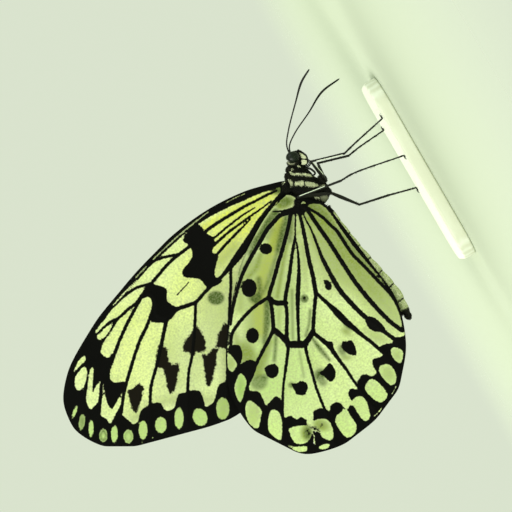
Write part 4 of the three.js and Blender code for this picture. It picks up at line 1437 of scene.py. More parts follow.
    def offset(self, kind: WingKind, flat: Array) -> Array:
        """Work out how far a wing's middle surface stands from the insect's own middle.

        Args:
            kind: which pair the wing belongs to.
            flat: points of the plan.

        Returns:
            The distance at each point, without a sign.
        """
        reach = np.hypot(*(flat - np.array(self.root)).T)
        offset = self.root_offset + (self.tip_offset - self.root_offset) * ease(reach, 0, self.root_reach)
        offset += self.spread * (reach / self.span) ** 2
        if kind is WingKind.HIND:
            offset += self.pair_gap
            axis = np.array(Body.tail_axis)
            beside = 1 - ease(run_gap(flat, axis, np.zeros(len(axis))), *self.body_near)
            offset = np.maximum(offset, offset + (self.body_offset - offset) * beside)
        p, q = flat.T
        ripple = sum(high * np.sin(p / along + q / up) for high, along, up in self.ripples)
        return offset + ripple * ease(reach, *self.ripple_from)

    def blade(self, kind: WingKind, side: Side, flat: Array, faces: Array,
              paint: dict[str, Array], material: Material) -> None:
        """Give one wing its thickness, veins and finish.

        Args:
            kind: which pair the wing belongs to.
            side: which side of the insect it stands on.
            flat: points of the plan.
            faces: triangles of the plan.
            paint: values of the finish at each point.
            material: the finish.
        """
        node = f"{kind.value}wing_{side.name.lower()}"
        y = side.value * (self.offset(kind, flat) + self.swell * (paint["swell"] - 0.5))
        points = DRAFT.points(np.column_stack((flat, y)))
        obj = mesh_object(f"{node}_blade", points, faces)
        for name in ("ink", "soot", *(wash.value for wash in Wash)):
            set_attribute(obj, name, paint[name])
        group = obj.vertex_groups.new(name="veins")
        for k in np.flatnonzero(paint["vein"] > 0.01).tolist():
            group.add([k], float(paint["vein"][k]), "REPLACE")
        thick = self.membrane + self.vein_height
        wall = obj.modifiers.new("wall", "SOLIDIFY")
        wall.thickness = thick * MM
        wall.offset = 0.0
        wall.vertex_group = "veins"
        wall.thickness_vertex_group = self.membrane / thick
        finish_modifiers(obj)
        obj.vertex_groups.clear()
        smooth_shading(obj)
        settle(obj, "wing_membrane", material, node)


# ----------------------------------------------------------------------- body


FLANK_MARKS: tuple[Mark, ...] = (
    # cream bands and spots on the side of the collar and thorax, where the hair is rooted
    Spot((-0.35, 5.25), (0.3, 0.2)),
    Spot((-1.85, 4.6), (0.25, 0.16), 20),
    Field(((-2.6, 4.05), (-2.1, 4.1), (-1.7, 3.8), (0.6, 3.72), (1.7, 3.68), (2.7, 3.2), (2.6, 3.0),
        (1.4, 3.15), (0.6, 3.3), (-1.6, 3.38), (-2.2, 3.45))),
    Field(((-2.7, 2.35), (-2.2, 2.3), (-1.75, 1.95), (-1.7, 1.3), (-2.1, 1.2), (-2.5, 1.6))),
    Field(((-1.15, 1.8), (-0.6, 1.95), (0.7, 2.05), (0.72, 1.2), (0.3, 0.95), (-0.5, 1.1), (-1.3, 1.2))),
    Field(((1.1, 1.9), (2.0, 1.85), (3.1, 1.55), (3.9, 1.2), (3.6, 0.9), (2.6, 0.8), (1.5, 0.85),
        (1.05, 1.2))),
    Line(((4.3, 1.0), (5.3, 1.1)), 0.16),
    Spot((-3.5, 1.75), (0.2, 0.2)),
    Line(((3.2, -1.5), (4.2, -1.75)), 0.26),
)
FLANK_STAINS: tuple[Mark, ...] = (
    # the cheek, and dull olive where the flank meets the abdomen
    Line(((-2.85, 6.3), (-2.6, 5.95), (-2.2, 5.7), (-1.5, 5.72), (-1.1, 6.0)), (0.5, 0.7, 0.6, 0.3)),
    Field(((4.2, -1.3), (5.6, -0.9), (6.4, -1.4), (5.8, -2.4), (4.8, -2.5))),
)


@dataclass
class Body:
    """Head, thorax and abdomen as one skin, under the coat."""

    coat_depth: float = 0.38
    voxel: float = 0.13
    thorax_centre: Pair = (1.8, 1.5)
    forward: Pair = (-0.5, 0.866)  # the drafted way to the head
    backward: Pair = (-0.866, -0.5)  # the drafted way to the back
    core_length: float = 0.95  # share of the stations' run that the core takes
    core_step: float = 0.45
    squareness: float = 0.8  # below 1 the rings are boxier than ovals
    ring_points: int = 32
    # place along the axis, height of the back, depth of the breast, half width
    stations: tuple[tuple[float, float, float, float], ...] = (
        (-5.7, 1.6, -1.6, 1.5), (-5.1, 2.8, -2.7, 2.16), (-3.8, 3.9, -3.7, 2.7), (-2.2, 4.6, -3.7, 3.0),
        (-0.8, 4.9, -3.1, 3.0), (0.7, 5.0, -2.2, 2.94), (2.2, 4.8, -1.9, 2.79), (3.5, 4.3, -1.5, 2.46),
        (4.5, 3.4, -1.2, 2.04), (5.3, 2.5, -0.8, 1.5),
    )
    tail_axis: Pairs = ((4.9, -4.0), (8.2, -9.0), (12.0, -14.0), (16.6, -18.9), (20.8, -23.3), (23.2, -27.0))
    tail_radii: tuple[float, ...] = (1.75, 2.15, 2.3, 2.15, 1.75, 1.15)
    tail_coat: float = 0.16
    tail_step: float = 0.33
    tail_points: int = 28
    tail_height: float = 1.02  # height of a ring beside its breadth
    rings: int = 8
    ring_shift: float = 0.22  # share of a ring by which the first one is longer
    ring_swell: float = 0.16
    ring_waist: float = 0.2
    ring_fold: float = 0.9
    ring_sink: float = 0.06
    clasper_place: Pair = (23.6, -27.4)

    def build(self, finish: Coat) -> Piece:
        """Build and dress the skin.

        Args:
            finish: the cuticle's finish.

        Returns:
            The skin, on which the hair grows.
        """
        skin = join_pieces("body_skin", [self.thorax(), self.abdomen(), *self.head(), *self.lumps()])
        remesh = skin.modifiers.new("one_skin", "REMESH")
        remesh.mode = "VOXEL"
        remesh.voxel_size = self.voxel * MM
        soften = skin.modifiers.new("soften", "SMOOTH")
        soften.factor = 0.5
        soften.iterations = 2
        finish_modifiers(skin)
        smooth_shading(skin, 80.0)
        self.mark(skin)
        settle(skin, "thorax_coat", finish.make(), "thorax", "abdomen", "head")
        return skin

    def on_thorax(self, along: float, up: float) -> Pair:
        """A drafted point from its place along the thorax and its height towards the back."""
        ways = zip(self.thorax_centre, self.forward, self.backward)
        return tuple(centre + along * ahead + up * back for centre, ahead, back in ways)

    def thorax(self) -> Piece:
        """Loft the thorax through its stations, less the depth of the coat.

        Returns:
            The thorax's object.
        """
        rings = []
        turns = np.linspace(0.0, math.tau, self.ring_points, endpoint=False)
        oval = np.array((np.cos(turns), np.sin(turns)))
        across, high = np.sign(oval) * np.abs(oval) ** self.squareness
        for along, back, breast, half in smooth_run(self.stations, self.core_step):
            up = (back + breast) / 2 + ((back - breast) / 2 - self.coat_depth) * high
            base = np.array([self.on_thorax(along * self.core_length, u) for u in up])
            y = (half - self.coat_depth) * across
            rings.append(DRAFT.points(np.column_stack((base, y))))
        return loft("thorax_core", rings)

    def abdomen(self) -> Piece:
        """Loft the abdomen as rings that each overlap the next.

        Returns:
            The abdomen's object.
        """
        rings = []
        axis = smooth_run([(*p, r) for p, r in zip(self.tail_axis, self.tail_radii)], self.tail_step)
        length = np.concatenate(([0.0], np.cumsum(np.hypot(*np.diff(axis[:, :2], axis=0).T))))
        ways = unit(np.gradient(axis[:, :2], axis=0))
        turns = np.linspace(0.0, math.tau, self.tail_points, endpoint=False)
        for (p, q, radius), way, far in zip(axis, ways, length / length[-1]):
            step = (far * self.rings - self.ring_shift) % 1.0
            fold = float(self.ring_swell * ease(step, 0.0, 0.5) - self.ring_waist * ease(step, 0.86, 1.0))
            size = radius - self.tail_coat + fold * self.ring_fold - self.ring_sink
            up = size * np.sin(turns) * self.tail_height
            base = np.array((p, q)) + np.column_stack((-way[1] * up, way[0] * up))
            rings.append(DRAFT.points(np.column_stack((base, size * np.cos(turns)))))
        return loft("abdomen_core", rings)

    def head(self) -> list[Piece]:
        """Make the head's shell, its face and crown, and the neck.

        Returns:
            The balls that stand for them.
        """
        return [
            ball("head_shell", (-1.0, 6.9, 0.0), (1.5, 1.75, 1.85)),
            ball("face", (0.1, 6.9, 0.0), (0.75, 1.35, 0.85)),
            ball("crown", (-1.9, 7.85, 0.0), (0.7, 0.6, 1.0), 20),
            ball("neck", (-0.6, 4.9, 0.0), (1.2, 1.3, 1.2), 20),
        ]

    def lumps(self) -> list[Piece]:
        """Make the plates, hips and claspers that stand out, on both sides.

        Returns:
            The balls that stand for them.
        """
        made = [ball("scutellum", (*self.on_thorax(-3.5, 3.3), 0.0), (0.9, 0.8, 1.2), 30)]
        for side in Side:
            sign = side.value
            made += [
                ball("cheek", (-2.1, 5.95, sign * 0.85), (0.8, 0.62, 0.7)),
                ball("collar", (-2.2, 4.6, sign * 0.95), (0.95, 0.8, 0.8), 30),
                ball("shoulder", (-2.55, 2.8, sign * 1.9), (0.72, 1.1, 0.6), 30),
                ball("fore_hinge", (-3.0, 0.7, sign * 1.85), (1.05, 1.2, 0.42)),
                ball("hind_hinge", (-0.4, -2.9, sign * 2.4), (1.4, 0.95, 0.55)),
                ball("fore_hip", (0.6, 4.0, sign * 0.75), (0.6, 0.9, 0.5), 20),
                ball("mid_hip", (4.8, 2.4, sign * 1.25), (1.0, 1.0, 0.75), 30),
                ball("hind_hip", (5.8, -0.35, sign * 1.25), (1.0, 0.85, 0.75), 10),
                ball("clasper", (*self.clasper_place, sign * 0.5), (0.75, 1.1, 0.65), 30),
            ]
        return made

    def mark(self, obj: Piece, rows: Array | None = None) -> None:
        """Store the markings on a skin, or on a coat from the places of its roots.

        Args:
            obj: the skin or coat.
            rows: the drafted place of each vertex's root, where it isn't its own.
        """
        drafted = DRAFT.drafted(vertex_places(obj)) if rows is None else rows
        set_attribute(obj, "cream", self.cream(drafted))
        p, q, y = drafted.T
        set_attribute(obj, "tone", 0.5 + 0.5 * np.sin(1.7 * p + 2.3 * q + 3.1 * y))

    def cream(self, drafted: Array) -> Array:
        """Work out how cream the body is, from 0 to 1.

        Args:
            drafted: rows of p, q and y.

        Returns:
            The share of cream at each point.
        """
        p, q, y = drafted.T
        plan = drafted[:, :2]
        flank = 1 - ease(nearest(FLANK_MARKS, plan), -0.04, 0.06)
        flank = np.maximum(flank, 0.5 * (1 - ease(nearest(FLANK_STAINS, plan), -0.3, 0.2)))
        flank *= ease(np.abs(y), 0.55, 0.9)
        # the face, pale down its middle
        face = (1 - ease(np.abs(y), 0.35, 0.5)) * ease(p, -0.1, 0.2) * ease(q, 5.8, 6.2)
        face *= 1 - ease(q, 8.0, 8.3)
        off = plan - np.array(self.thorax_centre)
        up, along = off @ np.array(self.backward), off @ np.array(self.forward)
        # pale dashes in two rows along the back of the thorax
        rows = 1 - ease(np.abs(np.abs(y) - 1.0), 0.14, 0.3)
        dashes = rows * ease(np.sin(along * 2.1), 0.1, 0.4) * ease(up, 2.4, 3.2) * (1 - ease(q, 4.4, 5.0))
        # the abdomen is pale with a dark stripe along its back and dark rims to its rings
        away, far = self.along_tail(plan)
        tail = ease(far, 0.03, 0.1) * (1 - ease(np.hypot(away, y), 2.6, 3.2))
        angle = np.degrees(np.arctan2(np.abs(y), away))
        stripe = 1 - ease(angle, 22 - 8 * far, 32 - 8 * far)
        rim_step = (far * self.rings - self.ring_shift) % 1.0
        ring = ease(rim_step, 0.86, 0.91) * (1 - ease(rim_step, 0.96, 1.0))
        ring *= 1 - 0.4 * ease(angle, 140, 175)
        end = ease(far, 0.955, 0.985)
        tail_cream = tail * (1 - stripe) * (1 - ring) * (1 - end) * (0.55 + 0.45 * ease(angle, 60, 130))
        return np.clip(np.maximum.reduce((flank, face, dashes)) * (1 - tail) + tail_cream, 0, 1)

    def along_tail(self, plan: Array) -> tuple[Array, Array]:
        """Place drafted points along the abdomen.

        Args:
            plan: rows of p and q.

        Returns:
            Their heights above the axis towards the back, and their shares of the way to the tip.
        """
        step = 0.5
        axis = smooth_run(self.tail_axis, step)
        gaps = np.hypot(plan[:, None, 0] - axis[None, :, 0], plan[:, None, 1] - axis[None, :, 1])
        near = gaps.argmin(axis=1)
        ways = unit(np.gradient(axis, axis=0))
        off = plan - axis[near]
        back = ways[near, 1] * off[:, 0] - ways[near, 0] * off[:, 1]
        onward = np.einsum("ij,ij->i", off, ways[near]) / step
        return back, (near + onward) / (len(axis) - 1)


TUFT_POINTS = 10  # three rings of three points, and a tip


@dataclass(frozen=True)
class FurZone:
    """The lie of the hair on a part of the body."""

    length: float
    width: float
    lift: float  # 0 lies flat, 1 stands up

    def row(self) -> Array:
        """Length, width and lift as one row."""
        return np.array((self.length, self.width, self.lift))


@dataclass
class Fur:
    """Tufts of hair and long scales over the skin, as solid mesh."""

    seed: int = 7
    body_tufts: int = 12000
    tail_tufts: int = 9500
    head: FurZone = FurZone(0.34, 0.04, 0.4)
    thorax: FurZone = FurZone(0.5, 0.048, 0.3)
    hinge: FurZone = FurZone(0.9, 0.042, 0.28)
    tail: FurZone = FurZone(0.3, 0.07, 0.1)
    hinges: Pairs = ((-3.2, 1.2), (-0.6, -2.8))
    eye: Spot = Spot((-1.64, 7.22), (1.54, 1.35))  # no hair grows on it
    eye_inside: float = 0.9  # nearest that the eye comes to the middle
    tail_from: float = -4.0  # the abdomen's highest hair
    scatter_lie: float = 0.28
    rings: tuple[Pair, ...] = ((-0.08, 1.0), (0.3, 0.95), (0.68, 0.6))  # place and width of a tuft's rings
    flatness: float = 0.55  # how thick a tuft is beside its width
    middle: Pairs = ((-1.0, 7.0), (1.8, 1.5), (4.9, -4.0), (12.0, -14.0), (23.2, -27.0))
    to_tail: Pair = (0.5, -0.866)  # the drafted ways along the body and across it
    to_belly: Pair = (0.866, 0.5)
    patch: float = 0.003  # size of a tuft on the coat's own map

    def build(self, body: Body, skin: Piece, finish: Coat, tail_finish: Coat) -> None:
        """Build and dress the coats of the thorax with the head, and of the abdomen.

        Args:
            body: the body, which knows its markings.
            skin: the skin that the hair grows on.
            finish: the finish of the thorax's coat.
            tail_finish: the finish of the abdomen's coat.
        """
        rng = np.random.default_rng(self.seed)
        roots, normals = self.scatter(skin, (self.body_tufts + self.tail_tufts) * 2, rng)
        drafted = DRAFT.drafted(roots)
        _, far = body.along_tail(drafted[:, :2])
        on_tail = (far > 0.06) & (drafted[:, 1] < self.tail_from)
        bald = (self.eye.gap(drafted[:, :2]) < 0.0) & (np.abs(drafted[:, 2]) > self.eye_inside)
        for name, chosen, count, material, slot in (
            ("body_coat", ~on_tail & ~bald, self.body_tufts, finish, "thorax_coat"),
            ("abdomen_coat", on_tail, self.tail_tufts, tail_finish, "abdomen_coat"),
        ):
            rows = np.flatnonzero(chosen)[:count]
            coat = self.tufts(name, roots[rows], normals[rows], drafted[rows], far[rows], rng)
            body.mark(coat, np.repeat(drafted[rows], TUFT_POINTS, axis=0))
            settle(coat, slot, material.make())

    def scatter(self, skin: Piece, count: int, rng: np.random.Generator) -> tuple[Array, Array]:
        """Draw points evenly over a skin.

        Args:
            skin: the object to draw on.
            count: how many points to draw.
            rng: the source of the draws.

        Returns:
            The points and the skin's normals there, one a row.
        """
        mesh = skin.data
        mesh.calc_loop_triangles()
        corners = np.empty(len(mesh.loop_triangles) * 3, np.int32)
        mesh.loop_triangles.foreach_get("vertices", corners)
        places = vertex_places(skin)
        a, b, c = places[corners.reshape(-1, 3)].transpose(1, 0, 2)
        normals = np.cross(b - a, c - a)
        areas = np.linalg.norm(normals, axis=1)
        chosen = rng.choice(len(areas), count, p=areas / areas.sum())
        u, v = rng.random((2, count, 1))
        u, v = np.where(u + v > 1, 1 - u, u), np.where(u + v > 1, 1 - v, v)
        points = a[chosen] + u * (b - a)[chosen] + v * (c - a)[chosen]
        return points, normals[chosen] / areas[chosen, None]

    def sizes(self, drafted: Array, far: Array) -> Array:
        """Work out the size of the hair.

        Args:
            drafted: rows of p, q and y.
            far: their shares of the way along the abdomen.

        Returns:
            Length, width and lift, one row a point.
        """
        p, q, y = drafted.T
        made = self.thorax.row()
        hinge = np.minimum.reduce([np.hypot(p - at, q - high) for at, high in self.hinges])
        for share, zone in (
            (ease(q, 4.6, 5.8), self.head),
            ((1 - ease(hinge, 0.9, 1.8)) * ease(np.abs(y), 1.5, 2.1), self.hinge),
            (ease(far, 0.03, 0.1) * (q < self.tail_from), self.tail),
        ):
            made = made + share[:, None] * (zone.row() - made)
        # longer, thinner and steeper at the abdomen's tip
        tip = (ease(far, 0.93, 0.99) * (q < -20.0))[:, None]
        return made * (1 + tip * np.array((0.6, -0.35, 1.2)))

    def lie(self, drafted: Array, normals: Array) -> Array:
        """Work out the way the hair lies: back along the body, and out over the sides.

        Args:
            drafted: rows of p, q and y.
            normals: the skin's normals there.

        Returns:
            Unit vectors in the frame.
        """
        p, q, y = drafted.T
        share = ease(q, -6.0, -1.0)[:, None]
        back = share * np.array((0.32, -0.94)) + (1 - share) * np.array((0.64, -0.77))
        flow = DRAFT.points(np.column_stack((back, 0.16 * np.sign(y)))) - DRAFT.points(np.zeros((1, 3)))
        flow -= normals * np.einsum("ij,ij->i", flow, normals)[:, None]
        return unit(flow)

    def tufts(self, name: str, roots: Array, normals: Array, drafted: Array,
              far: Array, rng: np.random.Generator) -> Piece:
        """Grow a tapered three-sided tuft on each root.

        Args:
            name: the coat's name.
            roots: places of the roots, in metres.
            normals: the skin's normals there.
            drafted: the same places, drafted.
            far: share of the way along the abdomen.
            rng: the source of the draws.

        Returns:
            The coat's object.
        """
        count = len(roots)
        length, width, lift = (self.sizes(drafted, far) * (0.75 + 0.5 * rng.random((count, 1)))).T
        lie = self.lie(drafted, normals)
        lie += self.scatter_lie * rng.standard_normal((count, 3))
        lie -= normals * np.einsum("ij,ij->i", lie, normals)[:, None]
        lie = unit(lie)
        across = np.cross(lie, normals)
        rings = []
        for share, size in self.rings:
            rise = lift * share * (1.35 - 0.6 * share)
            middle = roots + (length * MM)[:, None] * (share * lie + rise[:, None] * normals)
            for turn in (90.0, 210.0, 330.0):
                c, s = math.cos(math.radians(turn)), math.sin(math.radians(turn))
                out = (width * size * MM)[:, None] * (c * across + self.flatness * s * normals)
                rings.append(middle + out)
        rise = lift * 0.78
        rings.append(roots + (length * MM)[:, None] * (lie + rise[:, None] * normals))
        points = np.stack(rings, axis=1).reshape(-1, 3)
        pattern = [(0, 1, 2)]
        for ring in (0, 3):
            for k in range(3):
                a, b = ring + k, ring + (k + 1) % 3
                pattern += [(a, b + 3, b), (a, a + 3, b + 3)]
        pattern += [(6, 9, 7), (7, 9, 8), (8, 9, 6)]
        faces = (np.arange(count)[:, None, None] * TUFT_POINTS + np.array(pattern)).reshape(-1, 3)
        coat = mesh_object(name, points, faces)
        self.map_coat(coat, drafted, faces)
        pick(coat)
        bpy.ops.object.shade_smooth()
        return coat

    def map_coat(self, coat: Piece, drafted: Array, faces: Array) -> None:
        """Give each tuft a small patch at its root's place on an unwrap of the body.

        Args:
            coat: the coat's object.
            drafted: the drafted roots.
            faces: the coat's triangles.
        """
        ways = np.column_stack((self.to_tail, self.to_belly))
        along, across = (drafted[:, :2] @ ways).T
        spine, middle = (np.array(self.middle) @ ways).T
        angle = np.arctan2(drafted[:, 2], across - np.interp(along, spine, middle)) / math.tau + 0.5
        v = (along - along.min()) / max(np.ptp(along), 1e-9)
        centre = 0.01 + 0.98 * np.column_stack((angle, v))
        # each tuft keeps a small open patch, its tip at the top
        corner = np.arange(TUFT_POINTS)
        turn = np.radians(120.0 * (corner % 3))
        high = corner / 9.0 - 0.5 + 0.08 * np.sin(turn)
        local = np.column_stack((0.4 * np.cos(turn) * (1 - corner / 14), high))
        places = centre[faces.ravel() // TUFT_POINTS] + self.patch * local[faces.ravel() % TUFT_POINTS]
        layer = coat.data.uv_layers.new(name="OFBake")
        layer.data.foreach_set("uv", places.astype(np.float32).ravel())


@dataclass
class Head:
    """The eyes, palps and coiled tongue."""

    eye_centre: Pair = (-1.64, 7.22)
    eye_out: float = 1.72
    eye_radii: tuple[float, float, float] = (1.5, 1.27, 1.03)
    palp_route: Pairs = ((0.5, 5.3), (1.0, 6.15), (0.88, 7.2), (0.32, 8.0), (-0.5, 8.75))
    palp_radii: tuple[float, ...] = (0.3, 0.78, 0.7, 0.42, 0.1)
    palp_out: float = 1.0
    palp_flat: float = 0.6  # how thick a palp is beside its breadth
    palp_marks: tuple[Mark, ...] = (
        Field(((-0.2, 8.2), (0.5, 7.9), (1.2, 7.3), (1.3, 6.95), (0.7, 6.9), (0.2, 7.1), (-0.1, 7.6))),
        Field(((0.0, 6.5), (1.4, 6.45), (1.5, 5.85), (0.95, 5.6), (0.1, 5.7))),
    )
    bristles: int = 640
    bristle: float = 0.3
    bristle_half: float = 0.03
    seed: int = 11
    coil_centre: Pair = (1.5, 6.0)
    coil_outer: float = 0.93
    coil_inner: float = 0.26
    coil_turns: float = 2.3
    coil_tube: float = 0.15
    coil_thinning: float = 0.35  # share of its thickness that it loses towards its end
    coil_rings: float = 260 / math.tau

    def build(self, eye: CompoundEye, cuticle: Chitin, hair: Coat) -> None:
        """Build and dress the pieces of the head.

        Args:
            eye: the finish of the eyes.
            cuticle: the finish of the tongue.
            hair: the finish of the palps.
        """
        eye_material, cuticle_material, hair_material = eye.make(), cuticle.make(), hair.make()
        for side in Side:
            self.eye(side, eye_material)
            self.palp(side, hair_material)
        self.tongue(cuticle_material)

    def eye(self, side: Side, material: Material) -> None:
        """Build one eye, a smooth dome.

        Args:
            side: the insect's side.
            material: the finish.
        """
        name = side.name.lower()
        dome = ball(f"eye_{name}_dome", (*self.eye_centre, side.value * self.eye_out), self.eye_radii)
        smooth = dome.modifiers.new("round", "SUBSURF")
        smooth.levels = smooth.render_levels = 1
        finish_modifiers(dome)
        smooth_shading(dome, 80.0)
        settle(dome, "eye", material, f"eye_{name}")

    def palp(self, side: Side, material: Material) -> None:
        """Build one palp: a flat stem under bristles, pale inside a black outline.

        Args:
            side: the insect's side.
            material: the finish.
        """
        name = side.name.lower()
        middle = side.value * self.palp_out
        points = np.array([(*place, middle) for place in self.palp_route])
        stem = limb(f"palp_{name}_bristled", points, self.palp_radii, 0.16, 18)
        drafted = DRAFT.drafted(vertex_places(stem))
        drafted[:, 2] = middle + (drafted[:, 2] - middle) * self.palp_flat
        stem.data.vertices.foreach_set("co", DRAFT.points(drafted).astype(np.float32).ravel())
        bristles = self.palp_bristles(points, np.random.default_rng(self.seed + side.value))
        rows = np.vstack((drafted, DRAFT.drafted(vertex_places(bristles))))
        whole = join_pieces(f"palp_{name}_bristled", [stem, bristles])
        p, q, y = rows.T
        cream = (1 - ease(nearest(self.palp_marks, rows[:, :2]), -0.05, 0.1)) * ease(np.abs(y), 0.95, 1.1)
        set_attribute(whole, "cream", cream)
        set_attribute(whole, "tone", 0.5 + 0.5 * np.sin(5 * p + 7 * q))
        smooth_shading(whole, 60.0)
        settle(whole, "thorax_coat", material, f"palp_{name}")

    def palp_bristles(self, points: Array, rng: np.random.Generator) -> Piece:
        """Set bristles all over a palp, leaning towards its tip.

        Args:
            points: drafted points of its middle line.
            rng: the source of the draws.

        Returns:
            The bristles as one object.
        """
        corners = []
        axis = smooth_run(np.column_stack((points, self.palp_radii)), 0.02)
        for _ in range(self.bristles):
            k = int(rng.integers(6, len(axis) - 2))
            turn = rng.random() * math.tau
            way = unit(np.append(axis[k + 1, :2] - axis[k - 1, :2], 0.0))
            out = np.array((-way[1] * math.cos(turn), way[0] * math.cos(turn), math.sin(turn)))
            root = axis[k, :3] + out * axis[k, 3] * 0.92 * np.array((1.0, 1.0, self.palp_flat))
            tip = root + self.bristle * (0.9 * way + 0.45 * out)
            half = np.cross(way, out) * self.bristle_half
            corners.append(DRAFT.points(np.array((root + half, root - half, root + out * 0.05, tip))))
        return spikes("bristles", np.vstack(corners))

    def tongue(self, material: Material) -> None:
        """Build the tongue, rolled up like a watch spring and ringed along its length.

        Args:
            material: the finish.
        """
        turns = np.linspace(0.0, 1.0, 150)
        radius = self.coil_outer + (self.coil_inner - self.coil_outer) * turns
        angle = math.tau * self.coil_turns * turns + math.pi
        p = self.coil_centre[0] + radius * np.cos(angle)
        q = self.coil_centre[1] + radius * np.sin(angle)
        ringed = 1 + 0.07 * np.cos(turns * math.tau * self.coil_rings)
        size = self.coil_tube * (1 - self.coil_thinning * turns) * ringed
        route = DRAFT.points(np.column_stack((p, q, np.zeros_like(p))))
        coil = loft("tongue_coil", tube_rings(route, size * MM, 10))
        set_attribute(coil, "stripe", np.zeros(len(coil.data.vertices)))
        smooth_shading(coil, 60.0)
        settle(coil, "chitin", material, "proboscis")


# ---------------------------------------------------------------------- limbs


@dataclass
class Feelers:
    """The two antennae: fine ringed stems with slender clubs."""

    routes: dict[Side, Pairs] = field(
        default_factory=lambda: {
            Side.RIGHT: ((-2.2, 7.6), (-2.95, 9.8), (-2.6, 13.0), (-1.05, 19.1), (0.2, 23.4), (1.9, 26.2)),
            Side.LEFT: ((-2.0, 7.6), (-2.35, 9.6), (-1.2, 12.5), (2.0, 17.3), (4.9, 21.9), (8.85, 24.95)),
        }
    )
    spread: tuple[float, ...] = (0.7, 1.2, 2.6, 5.2, 7.2, 8.6)
    radii: tuple[float, ...] = (0.2, 0.165, 0.165, 0.175, 0.26, 0.19)
    ring: float = 0.48  # length of a joint
    waist: float = 0.16  # share by which the stem is thinner between two joints
    root_swell: float = 1.25
    tip_taper: tuple[float, ...] = (0.92, 0.78, 0.55, 0.25)

    def build(self, finish: Chitin) -> None:
        """Build and dress both feelers.

        Args:
            finish: the finish of the cuticle.
        """
        material = finish.make()
        for side in Side:
            name = side.name.lower()
            y = side.value * np.array(self.spread)
            knots = np.column_stack((np.array(self.routes[side]), y, np.array(self.radii)))
            run = smooth_run(knots, 0.12)
            far = np.concatenate(([0.0], np.cumsum(np.linalg.norm(np.diff(run[:, :3], axis=0), axis=1))))
            step = (far / self.ring) % 1.0
            size = run[:, 3] * (1 - self.waist * (1 - ease(np.minimum(step, 1 - step), 0.0, 0.22)))
            size[-len(self.tip_taper) :] *= self.tip_taper
            size[:6] *= self.root_swell
            feeler = loft(f"antenna_{name}_ringed", tube_rings(DRAFT.points(run[:, :3]), size * MM, 10))
            set_attribute(feeler, "stripe", np.zeros(len(feeler.data.vertices)))
            smooth_shading(feeler, 60.0)
            settle(feeler, "chitin", material, f"antenna_{name}")


@dataclass(frozen=True)
class Stripe:
    """A pale line along a shank: the drafted way it faces, how far outwards, and where it runs."""

    faces: Pair = (0.0, 0.0)
    outwards: float = 1.0
    start: float = 0.06
    end: float = 0.93


@dataclass(frozen=True)
class LegPlan:
    """One walking leg: drafted joints from hip to ankle, how far out each is, and the foot's heading."""

    joints: Pairs
    out: tuple[float, ...]
    toe: Pair
    femur: Stripe = Stripe()
    tibia: Stripe = Stripe()


